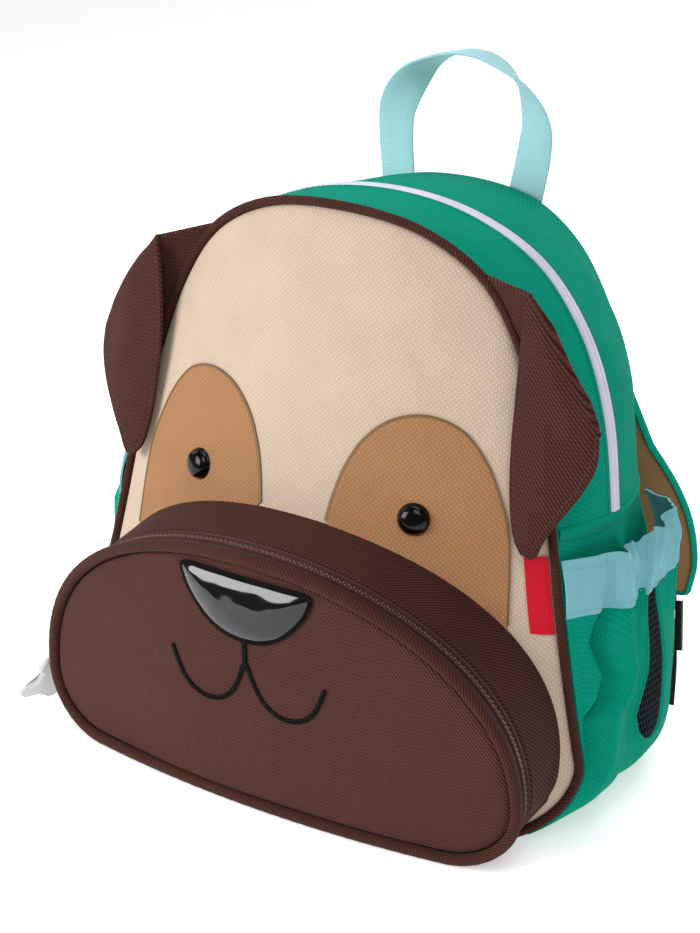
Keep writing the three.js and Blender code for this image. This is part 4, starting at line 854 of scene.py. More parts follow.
@dataclass(frozen=True)
class MuzzleForm:
    """The muzzle pocket's outside: an oval standing on its flat foot."""

    bag: BagForm
    half_width: float = 138
    height: float = 152
    foot: float = 6.5
    corner: float = 35
    roundness: float = 2.1
    face_top: float = 140
    face_foot: float = 3.3
    depth_foot: float = 7.3
    depth_top: float = 48.2
    side_recess: float = 17
    puff: float = 3
    foot_end: float = 0.25
    corner_end: float = 0.4
    seam_height: float = 24

    @property
    def scale(self) -> float:
        """How tall the face is beside its own foot on the front panel."""
        return (self.face_top - self.face_foot) / (self.height - self.foot)

    @property
    def seam(self) -> float:
        """Where the zipped band meets the foot strip, along half the outline."""
        turn = math.acos(1 - self.seam_height / (self.foot + self.corner))
        return lerp(self.foot_end, self.corner_end, turn / (math.pi / 2))

    def outline(self, a: Array) -> tuple[Array, Array]:
        """Half the pocket's outline.

        Args:
            a: places, from 0 at the middle of the foot to 1 at the top.

        Returns:
            x and z there.
        """
        flat, shoulder = self.half_width - self.corner, self.foot + self.corner
        turn = np.clip((a - self.foot_end) / (self.corner_end - self.foot_end), 0, 1) * math.pi / 2
        arch = np.clip((a - self.corner_end) / (1 - self.corner_end), 0, 1) * math.pi / 2
        power = 2 / self.roundness
        x = np.where(a <= self.foot_end, flat * a / self.foot_end,
                     np.where(a <= self.corner_end, flat + self.corner * np.sin(turn),
                              self.half_width * np.maximum(np.cos(arch), 0) ** power))
        z = np.where(a <= self.foot_end, self.foot,
                     np.where(a <= self.corner_end, shoulder - self.corner * np.cos(turn),
                              shoulder + (self.height - shoulder) * np.sin(arch) ** power))
        return x, z

    def face_height(self, z: Array) -> Array:
        """Height on the face of a height on the front panel."""
        return self.face_foot + (z - self.foot) * self.scale

    def seam_y(self, x: Array, face_z: Array) -> Array:
        """Depth of the face's seam.

        Args:
            x: places across the face.
            face_z: its heights there.

        Returns:
            The depths.
        """
        z = self.foot + (face_z - self.face_foot) / self.scale
        depth = lerp(self.depth_foot, self.depth_top, z / self.height)
        return (self.bag.front_foot_y + self.bag.lean * z / self.bag.height - depth
                + self.side_recess * (x / self.half_width) ** 2)

    def half_at(self, z: Array) -> Array:
        """Half width of the face's seam at a height."""
        x, up = self.outline(np.linspace(self.foot_end, 1, 300))
        return np.interp(z, self.face_height(up), x)

    def face_y(self, x: Array, z: Array) -> Array:
        """Depth of the face's outside."""
        across = np.maximum(0, 1 - (x / np.maximum(self.half_at(z), 1e-6)) ** 2)
        high = np.clip(np.maximum(z, self.face_foot + 1) / self.face_top, 0, 1)
        return self.seam_y(x, z) - self.puff * across * np.sin(math.pi * high) ** 0.6

    def sides(self, a: Array, w: Array) -> Array:
        """The pocket's sides.

        Args:
            a: places up the outline, signed with the side.
            w: shares from the front panel to the face's piping.

        Returns:
            The points.
        """
        a, w = np.broadcast_arrays(a, w)
        side, way = np.where(a < 0, -1.0, 1.0), np.abs(a)
        x, z = self.outline(way)
        base = join(x, self.bag.panel_y(x, z) - 0.4, z)
        up = self.face_height(z)
        front = join(x, self.seam_y(x, up), up)
        return lerp(base, front, w[..., None]) * join(side, np.ones_like(side), np.ones_like(side))

    def top_at(self, x: Array) -> Array:
        """Height of the pocket's outline on the front panel."""
        shoulder = self.foot + self.corner
        across = np.minimum(np.abs(x) / self.half_width, 1) ** self.roundness
        return shoulder + (self.height - shoulder) * (1 - across) ** (1 / self.roundness)

    def loop(self, inset: float) -> Array:
        """The face's seam as a closed ring of (x, z), moved towards its middle."""
        x, z = self.outline(np.linspace(0, 1, 241))
        return mirrored_loop(x, self.face_height(z), 2.2, inset)


def disc(builder: MeshBuilder, outline: Array, rings: Array, middle: tuple[float, float],
         near: Callable[[Array, Array, Array], Array], far: Callable[[Array, Array, Array], Array]) -> None:
    """Adds a closed panel between two depths, over rings that shrink from an outline to its middle.

    Args:
        builder: the mesh it goes to.
        outline: (n, 2) corners of x and z.
        rings: sizes of the rings, from 1 down to near 0.
        middle: where the rings shrink to.
        near: depth of the near face from x, z and the ring.
        far: depth of the far face.
    """
    centre = np.array(middle)
    flat = lerp(centre, outline[None], rings[:, None, None])
    size = np.broadcast_to(rings[:, None], flat.shape[:2])
    layers = []
    for depth in (near, far):
        y = depth(flat[..., 0], flat[..., 1], size)
        layers.append(join(flat[..., 0], y, flat[..., 1]))
    builder.shell(layers[0], layers[1], flat, wrap=True)
    index = builder.count
    count = outline.shape[0]
    rows = len(rings)
    for layer in range(2):
        depth = (near, far)[layer]
        y = depth(centre[:1], centre[1:], np.zeros(1))
        tip = builder.add_points(np.array([[centre[0], y[0], centre[1]]]), centre[None])
        start = index - 2 * rows * count + layer * rows * count + (rows - 1) * count
        ring = start + np.arange(count)
        turned = np.roll(ring, -1)
        faces = join(ring, np.full(count, tip), turned)
        builder.faces.extend((faces if layer == 0 else faces[:, ::-1]).tolist())
        builder.marks.extend([0] * count)


def stitch_row(builder: MeshBuilder, path: Array, out: Array, length: float = 2.3, gap: float = 0.9,
               radius: float = 0.28, mark: int = 0) -> None:
    """Adds a row of machine stitches.

    Args:
        builder: the mesh it goes to.
        path: the seam's line.
        out: normals of the cloth, one for all or one a corner.
        length: length of a stitch.
        gap: distance between two.
        radius: half the thread's thickness.
        mark: which material it takes.
    """
    both = resample(np.hstack([path, np.broadcast_to(out, path.shape)]), 0.4)
    per = max(int(round((length + gap) / 0.4)), 2)
    dash = max(int(round(length / 0.4)), 1)
    starts = np.arange(0, len(both) - dash, per)
    lift = unit(both[starts, 3:])
    builder.spindles(both[starts, :3] + lift * radius * 0.5, both[starts + dash, :3] + lift * radius * 0.5,
                     radius, lift, mark)


def satin_row(builder: MeshBuilder, path: Array, out: Array, width: float, pitch: float = 0.55,
              radius: float = 0.42, closed: bool = False, mark: int = 0) -> None:
    """Adds a satin-stitched line: threads side by side across a path.

    Args:
        builder: the mesh it goes to.
        path: its middle line.
        out: normals of the cloth, one for all or one a corner.
        width: how wide the line is.
        pitch: distance between threads.
        radius: half a thread's thickness.
        closed: whether the line runs back to its start.
        mark: which material it takes.
    """
    both = resample(np.hstack([path, np.broadcast_to(out, path.shape)]), pitch, closed)
    p, lift = both[:, :3], unit(both[:, 3:])
    across, _ = frames_along(p, lift, closed)
    slant = unit(np.roll(p, -1, axis=0) - p) * pitch * 0.5
    if not closed:
        slant[-1] = slant[-2]
    builder.spindles(p - across * width / 2 - slant, p + across * width / 2 + slant, radius, lift, mark)


def covered_cord(node: str, loop: Array, depth: Callable[[Array, Array], Array], radius: float, sides: int,
                 beat: float) -> Piece:
    """Makes the brown covered cord round a panel.

    Args:
        node: the CAD node that it stands for.
        loop: (n, 2) corners of x and z.
        depth: depth of the seam from x and z.
        radius: half the cord's thickness.
        sides: corners of its section.
        beat: how its slight unevenness runs along it.

    Returns:
        The cord.
    """
    path = resample(join(loop[:, 0], depth(loop[:, 0], loop[:, 1]), loop[:, 1]), 2.0, closed=True)
    across, out = frames_along(path, FORWARD, True)
    build = MeshBuilder()
    build.tube(path, across, out, lambda i: round_section(radius * (1 + 0.02 * math.sin(i * beat)), sides),
               closed=True)
    return build.piece(node, "cord", [PIPING], "brown_cloth")


def cloth_uv(p: Array) -> Array:
    """Cloth coordinates in millimetres over a grid of points."""
    return join(lengths_along(p, 1), lengths_along(p, 0))


def dense_ends(count: int) -> Array:
    """Shares from 0 to 1, closer together at both ends."""
    return 0.5 - 0.5 * np.cos(np.linspace(0, math.pi, count))


def share_of(surface: Callable, u: Array, v: float, distance: float) -> Array:
    """The share of v that covers a distance measured square to the seam that runs along u.

    Args:
        surface: the sheet, as a function of u and v.
        u: places along the seam.
        v: the seam's own share.
        distance: millimetres from the seam.

    Returns:
        The shares, one a place.
    """
    step = 1e-3
    along = unit(surface(u + step, v) - surface(u - step, v))
    across = surface(u, v + step) - surface(u, v - step)
    return distance * 2 * step / np.linalg.norm(np.cross(across, along), axis=-1)


def folded_edge(distance: Array, ridge: float = 0.6, tuck: float = 1.3) -> Array:
    """Height of cloth beside an edge that is turned under: a low ridge that drops at the edge itself."""
    return ridge * bell(distance - 2.0, 1.3) - tuck * np.exp(-distance / 0.45)


@dataclass
class BagBody:
    """Front and back panels, the gussets round them, the main zip and the front piping."""

    form: BagForm
    wall: float = 2.4
    back_wall: float = 4.0
    piping: float = 2.2
    gap: float = 0.3
    zip_width: float = 6.0
    wrinkle: float = 0.55

    def arch(self, u: Array, v: Array) -> Array:
        """The gusset over the top, from the left side seam at u -1 to the right one at 1."""
        return self.form.outside(self.arch_a(u), v)

    def arch_a(self, u: Array) -> Array:
        """Place along the ring of a place on the arch."""
        return np.where(u < 0, -1.0, 1.0) * lerp(1.0, self.form.side_seam, np.abs(u))

    def foot(self, u: Array, v: Array) -> Array:
        """The gusset under the bag, from the left side seam at u -1 to the right one at 1."""
        return self.form.outside(self.foot_a(u), v)

    def foot_a(self, u: Array) -> Array:
        """Place along the ring of a place on the lower gusset."""
        return np.where(u < 0, -1.0, 1.0) * np.abs(u) * self.form.side_seam

    def face_skin(self, x: Array, z: Array) -> Array:
        """Depth of the front panel's cloth with its soft unevenness."""
        return self.form.panel_y(x, z) + 0.5 * ripple(x, z, 95, 3)

    def front_panel(self) -> Piece:
        """The beige face, turned in where it meets the piping."""
        edge = self.piping + self.gap
        rings = np.concatenate([[1, 0.995, 0.988, 0.978], np.linspace(0.965, 0.03, 44)])

        def near(x: Array, z: Array, ring: Array) -> Array:
            """Depth of the outside, rolled in at the seam."""
            return self.face_skin(x, z) + 1.6 * np.exp(-(1 - ring) / 0.006)

        build = MeshBuilder()
        disc(build, self.form.loop(1, edge), rings, (0.0, self.form.height * 0.45), near,
             lambda x, z, ring: near(x, z, ring) + self.wall - 1.2)
        return build.piece("front_panel", "cloth", [CREAM], "cream_cloth")

    def back_panel(self) -> Piece:
        """The padded panel against the wearer's back, quilted in three soft channels."""
        edge = self.wall + 2 * self.gap
        rings = np.concatenate([[1, 0.995, 0.985, 0.97], np.linspace(0.95, 0.03, 40)])

        def far(x: Array, z: Array, ring: Array) -> Array:
            """Depth of the outside, with its channels."""
            channel = bell(np.abs(x) - 34, 2.2) * smooth((z - 40) / 20) * smooth((262 - z) / 20)
            return self.form.back_y(x, z) - 1.2 * channel - 2.0 * np.exp(-(1 - ring) / 0.012)

        build = MeshBuilder()
        disc(build, self.form.loop(3, edge), rings, (0.0, self.form.back_height * 0.45),
             lambda x, z, ring: self.form.back_y(x, z) - self.back_wall, far)
        return build.piece("back_panel", "pad", [GREEN], "green_cloth", fill=0.3)

    def gusset(self, node: str, surface: Callable, place: Callable, rows: int, columns: int,
               start: Callable, end: Callable, edges: tuple[float, float], seed: int) -> Piece:
        """One cloth strip round the bag.

        Args:
            node: the CAD node that it stands for.
            surface: the bag's outside over u and v.
            place: the ring place of u.
            rows: corners along u.
            columns: corners along v.
            start: first v of each u.
            end: last v of each u.
            edges: how strongly each long edge is turned under.
            seed: which wrinkles it has.

        Returns:
            The strip, with a row of stitches beside each edge that is turned under.
        """
        u = np.linspace(-1, 1, rows)[:, None]
        v = lerp(start(u), end(u), dense_ends(columns)[None, :])
        p = surface(u, v)
        n = self.form.normals(place(u), v)
        before, after = lengths_along(p, 1), lengths_along(p[:, ::-1], 1)[:, ::-1]
        calm = smooth(before / 14) * smooth(after / 14)
        lift = self.wrinkle * calm * ripple(lengths_along(p, 0), before, 62, seed)
        lift = lift + self.wrinkle * 0.8 * calm * ripple(lengths_along(p, 0), before * 0.4, 30, seed + 1)
        lift = lift + edges[0] * folded_edge(before) + edges[1] * folded_edge(after)
        outer = p + n * lift[..., None]
        outer[..., 2] = np.maximum(outer[..., 2], 0.0)
        build = MeshBuilder()
        build.shell(outer, outer - n * self.wall * 0.6, cloth_uv(p))
        for strength, run in ((edges[0], before), (edges[1], after)):
            if strength > 0.5:
                column = np.argmin(np.abs(run - 3.2), axis=1)
                line = outer[np.arange(rows), column]
                stitch_row(build, line, n[np.arange(rows), column], mark=1)
        return build.piece(node, "cloth", [GREEN, GREEN_THREAD], "green_cloth", turned=False)

    def gussets(self) -> list[Piece]:
        """The two strips beside the zip, and the wide one that carries the side pockets and the foot."""
        share = self.form.zip_share
        edge = self.piping + self.gap
        half = self.zip_width / 2 + self.gap
        return [
            self.gusset("gusset_front", self.arch, self.arch_a, 280, 44,
                        lambda u: share_of(self.arch, u, 1e-3, edge),
                        lambda u: share - share_of(self.arch, u, share, half), (0.3, 1.0), 11),
            self.gusset("gusset_back", self.arch, self.arch_a, 280, 44,
                        lambda u: share + share_of(self.arch, u, share, half),
                        lambda u: np.ones_like(u), (1.0, 0.3), 17),
            self.gusset("gusset_lower", self.foot, self.foot_a, 260, 60,
                        lambda u: share_of(self.foot, u, 1e-3, edge),
                        lambda u: np.ones_like(u), (0.3, 0.3), 23),
            self.side_seam(),
        ]

    def side_seam(self) -> Piece:
        """The turned-over top edge of the lower gusset on both sides, with its topstitch."""
        build = MeshBuilder()
        for side in (-1.0, 1.0):
            v = np.linspace(0.03, 0.985, 90)[None, :]
            drop = dense_ends(14)[:, None] * 7.0
            a = side * (self.form.side_seam - drop / 420)
            p = self.form.outside(a, v)
            n = self.form.normals(a, v)
            lift = 0.5 + 0.9 * bell(drop - 1.6, 1.5) - 1.2 * np.exp(-drop / 0.4)
            lift = lift - 0.5 * smooth((drop - 4.5) / 2.5)
            outer = p + n * lift[..., None]
            build.shell(outer, outer - n * 0.9, cloth_uv(p))
            line = outer[9]
            stitch_row(build, line, n[9], mark=1)
        made = build.make("side_seam_folds", [GREEN, GREEN_THREAD], turned=True)
        return Piece(made, ("gusset_lower",), slot="green_cloth")

    def main_zip(self) -> Piece:
        """The zip over the top: pale tape rolled over its coil, with the closing line down its middle."""
        share, half = self.form.zip_share, self.zip_width / 2 + 1.8
        u = np.linspace(-1, 1, 300)[:, None]
        t = np.linspace(-1, 1, 29)[None, :]
        v = share + share_of(self.arch, u, share, half) * t
        p = self.arch(u, v)
        n = self.form.normals(self.arch_a(u), v)
        lift = -0.7 + 2.0 * (1 - np.abs(t) ** 5) - 0.7 * bell(t, 0.08)
        outer = p + n * (lift * np.ones_like(v))[..., None]
        build = MeshBuilder()
        build.shell(outer, p - n * 2.0, cloth_uv(p))
        return build.piece("main_zip", "tape", [TAPE], "zip_tape", turned=False)

    def front_piping(self) -> Piece:
        """The covered cord round the face."""
        form = self.form
        return covered_cord("front_piping", form.loop(1, 0), form.front_seam_y, self.piping, 14, 1.9)

    def build(self) -> list[Piece]:
        """Makes the body's pieces."""
        return [self.front_panel(), self.back_panel(), *self.gussets(), self.main_zip(), self.front_piping()]


@dataclass
class Muzzle:
    """The zipped pocket that makes the animal's muzzle, with its nose and mouth."""

    form: MuzzleForm
    body: BagBody
    wall: float = 1.4
    piping: float = 3.0
    gap: float = 0.3
    zip_width: float = 11.0
    nose_half: float = 37.0
    nose_top: float = 130.5
    nose_foot: float = 98.0
    mouth_half: float = 44.0
    mouth_top: float = 96.0
    mouth_foot: float = 59.5
    line: float = 2.4

    def arch(self, u: Array, w: Array) -> Array:
        """The zipped band, from the left seam at u -1 over the top to the right one at 1."""
        return self.form.sides(np.where(u < 0, -1.0, 1.0) * lerp(1.0, self.form.seam, np.abs(u)), w)

    def foot(self, u: Array, w: Array) -> Array:
        """The plain strip under the pocket."""
        return self.form.sides(np.where(u < 0, -1.0, 1.0) * np.abs(u) * self.form.seam, w)

    def normals(self, surface: Callable, u: Array, w: Array) -> Array:
        """Normals of the pocket's sides, pointing away from its middle.

        Args:
            surface: the sheet, as a function of u and w.
            u: places round the pocket.
            w: shares of its depth.

        Returns:
            Unit normals, one a place.
        """
        step = 1e-3
        along = surface(u + step, w) - surface(u - step, w)
        deep = surface(u, w + step) - surface(u, w - step)
        n = unit(np.cross(along, deep))
        p = surface(u, w)
        away = p - np.array([0.0, 0.0, self.form.foot + self.form.corner])
        away[..., 1] = 0
        return n * np.where(np.sum(n * away, axis=-1, keepdims=True) < 0, -1.0, 1.0)

    def near(self, surface: Callable, u: Array, distance: float) -> Array:
        """The w that lies a distance from the face's seam."""
        return 1 - share_of(surface, u, 0.5, distance)

    def band(self) -> Piece:
        """The wide brown strip on top, with the cloth turned under beside the zip."""
        edge = self.piping + self.gap
        u = np.linspace(-1, 1, 260)[:, None]
        w = lerp(0.0, self.near(self.arch, u, edge + self.zip_width + 0.2), dense_ends(36)[None, :])
        p, n = self.arch(u, w), self.normals(self.arch, u, w)
        after = lengths_along(p[:, ::-1], 1)[:, ::-1]
        before = lengths_along(p, 1)
        calm = smooth(before / 9) * smooth(after / 7)
        lift = 0.5 * calm * ripple(lengths_along(p, 0), before, 48, 31) + folded_edge(after, 0.5, 1.2)
        outer = p + n * lift[..., None]
        build = MeshBuilder()
        build.shell(outer, outer - n * self.wall, cloth_uv(p))
        for end in (0, -1):
            seam = outer[end]
            stitch_row(build, seam + n[end] * 0.1, n[end], mark=1)
        return build.piece("muzzle_band", "cloth", [BROWN, BROWN_THREAD], "brown_cloth")

    def zip(self) -> Piece:
        """The zip: a flat strip of cloth, then two raised lips with the coil's teeth sunk between them."""
        edge = self.piping + self.gap
        u = np.linspace(-1, 1, 420)[:, None]
        across = np.linspace(0, 1, 56)[None, :]
        w = lerp(self.near(self.arch, u, edge + self.zip_width), self.near(self.arch, u, edge), across)
        p, n = self.arch(u, w), self.normals(self.arch, u, w)
        d = across * self.zip_width
        lift = (0.75 * bell(d - 2.3, 0.7) + 0.75 * bell(d - 6.9, 0.7)
                - 0.5 * bell(d - 4.6, 1.1, 4) - 0.55 * bell(d - 8.1, 0.35)
                + 0.35 * bell(d - 9.6, 1.2) - 0.5 * np.exp(-d / 0.4))
        outer = p + n * (lift * np.ones_like(w))[..., None]
        build = MeshBuilder()
        build.shell(outer, p - n * self.wall, cloth_uv(p))
        column = int(round(4.6 / self.zip_width * 55))
        both = resample(np.hstack([outer[:, column], n[:, column]]), 1.5)
        middle, up = both[:, :3], unit(both[:, 3:])
        side, _ = frames_along(middle, up)
        shift = 0.35 * (np.arange(len(middle)) % 2 * 2 - 1)[:, None]
        rise = up * 0.25
        build.spindles(middle - side * (1.0 - shift) + rise, middle + side * (1.0 + shift) + rise, 0.5, up, 1)
        return build.piece("muzzle_zip", "tape", [BROWN_TAPE, COIL], "brown_cloth")

    def strip(self) -> Piece:
        """The plain strip round the lower corners and under the pocket."""
        u = np.linspace(-1, 1, 200)[:, None]
        w = lerp(0.0, self.near(self.foot, u, self.piping + self.gap), np.linspace(0, 1, 14)[None, :])
        p, n = self.foot(u, w), self.normals(self.foot, u, w)
        run = lengths_along(p, 0)
        ends = np.minimum(run, run[-1:] - run)
        lift = folded_edge(ends, 0.7, 0.4) + 0.2
        outer = p + n * lift[..., None]
        build = MeshBuilder()
        build.shell(outer, outer - n * self.wall, cloth_uv(p))
        return build.piece("muzzle_foot", "cloth", [BROWN], "brown_cloth")

    def skin(self, x: Array, z: Array) -> Array:
        """Depth of the muzzle's face with its soft unevenness."""
        return self.form.face_y(x, z) + 0.5 * ripple(x, z, 80, 41)

    def face(self) -> Piece:
        """The large brown front of the pocket, turned in at its piping."""
        rings = np.concatenate([[1, 0.993, 0.984, 0.97], np.linspace(0.955, 0.03, 40)])

        def near(x: Array, z: Array, ring: Array) -> Array:
            """Depth of the outside, rolled in at the piping."""
            return self.skin(x, z) + 1.7 * np.exp(-(1 - ring) / 0.01)

        build = MeshBuilder()
        disc(build, self.form.loop(self.piping + self.gap), rings, (0.0, self.form.face_top * 0.5), near,
             lambda x, z, ring: near(x, z, ring) + self.wall)
        return build.piece("muzzle_face", "cloth", [MUZZLE], "brown_cloth")

    def cord(self) -> Piece:
        """The thick covered cord round the face."""
        return covered_cord("muzzle_piping", self.form.loop(0), self.form.seam_y, self.piping, 16, 1.7)

    def on_face(self, flat: Array, off: float) -> Array:
        """Points of x and z laid on the muzzle's face, a distance in front of it."""
        return join(flat[:, 0], self.skin(flat[:, 0], flat[:, 1]) - off, flat[:, 1])

    def nose_outline(self) -> Array:
        """The nose as a closed outline of x and z."""
        right = np.array([(0, 1), (0.5, 1.0), (0.9, 0.985), (0.985, 0.95), (0.97, 0.83), (0.87, 0.6),
                          (0.68, 0.34), (0.48, 0.15), (0.24, 0.035), (0, 0)], float)
        half = catmull(right, np.linspace(0, 1, 60))
        p = np.vstack([half, half[-2:0:-1] * [-1, 1]])
        return join(p[:, 0] * self.nose_half, lerp(self.nose_foot, self.nose_top, p[:, 1]))

    def nose(self) -> Piece:
        """The puffed glossy nose with its black satin-stitched border."""
        outline = resample(self.nose_outline(), 1.2, closed=True)
        build = MeshBuilder()
        middle = (0.0, lerp(self.nose_foot, self.nose_top, 0.36))

        def near(x: Array, z: Array, ring: Array) -> Array:
            """Depth of the puffed vinyl."""
            dome = 5.2 * (1 - ring ** 2) ** 0.7 + 0.25 * ripple(x, z, 14, 5) * (1 - ring)
            return self.skin(x, z) - 1.0 - dome

        disc(build, outline, np.concatenate([[1, 0.99, 0.97], np.linspace(0.94, 0.02, 34)]), middle, near,
             lambda x, z, ring: self.skin(x, z) - 0.1 + 0 * ring)
        path = self.on_face(outline, 1.1)
        satin_row(build, path, FORWARD, 2.9, pitch=0.42, radius=0.5, closed=True, mark=1)
        return build.piece("nose", "vinyl", [GLOSS, THREAD], "black_gloss", sharp=60)

    def mouth(self) -> Piece:
        """The satin-stitched mouth: a stem that splits into two hooks."""
        hook = np.array([(0.025, 0.66), (0.09, 0.44), (0.19, 0.21), (0.33, 0.06), (0.51, 0), (0.69, 0.05),
                         (0.84, 0.2), (0.93, 0.4), (1, 0.62)], float)
        build = MeshBuilder()
        for side in (-1, 1):
            curve = catmull(hook, np.linspace(0, 1, 80))
            flat = join(side * curve[:, 0] * self.mouth_half,
                         lerp(self.mouth_foot, self.mouth_top, curve[:, 1]))
            path = self.on_face(flat, 0.55)
            satin_row(build, path, FORWARD, self.line, 0.42, 0.5)
        fork = lerp(self.mouth_foot, self.mouth_top, 0.6)
        stem = join(np.zeros(20), np.linspace(self.mouth_top + 2.5, fork, 20))
        path = self.on_face(stem, 0.6)
        satin_row(build, path, FORWARD, self.line + 0.4, 0.42, 0.5)
        return build.piece("mouth", "satin_stitch", [THREAD], "black_thread", sharp=80, turned=False)

    def build(self) -> list[Piece]:
        """Makes the muzzle's pieces."""
        return [self.band(), self.zip(), self.strip(), self.face(), self.cord(), self.nose(), self.mouth()]


@dataclass
class Eyes:
    """The two tan patches, their satin borders and the glossy domes."""

    body: BagBody
    muzzle: MuzzleForm
    radius: float = 7.8
    height: float = 5.2
    eye_x: float = 62.0
    eye_z: float = 161.0
    wall: float = 0.8
    border: float = 1.9
    # inner x and z, outer x and z of a patch from its top down, as shares of the half width and the height
    rows: tuple = ((0.42, 0.7, 0.42, 0.7), (0.315, 0.688, 0.53, 0.684), (0.23, 0.653, 0.612, 0.642),
                   (0.172, 0.6, 0.672, 0.585), (0.145, 0.553, 0.712, 0.525), (0.13, 0.51, 0.75, 0.36))

    def arch(self) -> Array:
        """The patch's curved edge, from its inner foot over the top to its outer foot."""
        form = self.body.form
        scale = np.array([form.half_width, form.height])
        inner = [np.array(row[:2]) * scale for row in self.rows[1:]][::-1]
        outer = [np.array(row[2:]) * scale for row in self.rows]
        p = catmull(np.array(inner + outer), np.linspace(0, 1, 160))
        p[:, 1] = np.maximum(p[:, 1], self.muzzle.top_at(p[:, 0]) - 1.0)
        return p

    def patch(self, side: int, name: str) -> Piece:
        """One patch with its border of olive thread."""
        arch = self.arch()
        foot = np.linspace(arch[-1], arch[0], 40)[1:-1]
        foot[:, 1] = self.muzzle.top_at(foot[:, 0]) - 1.0
        outline = np.vstack([arch, foot]) * [side, 1]
        build = MeshBuilder()
        disc(build, resample(outline, 1.6, closed=True), np.linspace(1, 0.03, 30),
             (side * self.eye_x, self.eye_z), lambda x, z, ring: self.body.face_skin(x, z) - self.wall,
             lambda x, z, ring: self.body.face_skin(x, z) - 0.02)
        flat = arch[(arch[:, 1] > self.muzzle.top_at(arch[:, 0]) - 0.5)] * [side, 1]
        path = join(flat[:, 0], self.body.face_skin(flat[:, 0], flat[:, 1]) - self.wall * 0.7, flat[:, 1])
        satin_row(build, path, FORWARD, self.border, 0.55, 0.42, mark=1)
        return build.piece(f"eye_patch_{name}", "cloth", [TAN, OLIVE], "tan_cloth")

    def dome(self, side: int, name: str) -> Piece:
        """One glossy black eye: a moulded dome on a thin rim."""
        edge = [(1.03, 0), (1.03, 0.1), (0.985, 0.22), (0.9, 0.5), (0.7, 0.8), (0.4, 0.955), (0.02, 1.0)]
        profile = catmull(np.array(edge), np.linspace(0, 1, 26))
        x, z = side * self.eye_x, self.eye_z
        skin = self.body.face_skin
        slope_x = float(skin(np.array(x + 6), np.array(z)) - skin(np.array(x - 6), np.array(z))) / 12
        slope_z = float(skin(np.array(x), np.array(z + 6)) - skin(np.array(x), np.array(z - 6))) / 12
        out = unit(np.array([slope_x, -1.0, slope_z]))
        right = unit(np.cross([0.0, 0.0, 1.0], out))
        up = np.cross(out, right)
        turn = TAU * np.arange(56) / 56
        base = np.array([x, float(skin(np.array(x), np.array(z))) - self.wall - 0.05, z])
        ring = np.cos(turn)[:, None] * right + np.sin(turn)[:, None] * up
        p = (base + profile[:, 0][:, None, None] * self.radius * ring[None]
             + profile[:, 1][:, None, None] * self.height * out)
        build = MeshBuilder()
        index = build.grid(p, np.zeros(p.shape[:2] + (2,)), wrap=True)
        for row in (index[0][::-1], index[-1]):
            build.faces.append(row.tolist())
            build.marks.append(0)
        return build.piece(f"eye_{name}", "dome", [DOME], "black_gloss", sharp=50)

    def build(self) -> list[Piece]:
        """Makes both eyes."""
        return [make(side, name) for side, name in SIDES for make in (self.patch, self.dome)]


@dataclass
class SideTag:
    """The bare red ribbon folded into the seam beside the face."""

    body: BagBody
    width: float = 10.0
    height: float = 38.0
    top: float = 149.0
    wall: float = 0.9

    def build(self) -> list[Piece]:
        """Makes the tag."""
        z = np.linspace(self.top - self.height, self.top, 40)[:, None]
        t = np.linspace(0, 1, 16)[None, :]
        edge = self.body.form.half_at(1, z) - self.body.piping - 0.3
        x = edge - self.width * (1 - t)
        lift = self.wall + 0.6 * np.sin(math.pi * t) + 0.2 * np.sin(z / 9) * (1 - t)
        p = join(x, self.body.face_skin(x, z + 0 * x) - lift, z + 0 * x)
        build = MeshBuilder()
        build.shell(p, p + np.array([0, 0.7, 0]), cloth_uv(p))
        line = p[:, 13] + np.array([0, -0.05, 0])
        stitch_row(build, line, FORWARD, 2.0, 0.9, 0.2)
        return [build.piece("side_tag", "ribbon", [RED], "red_ribbon")]


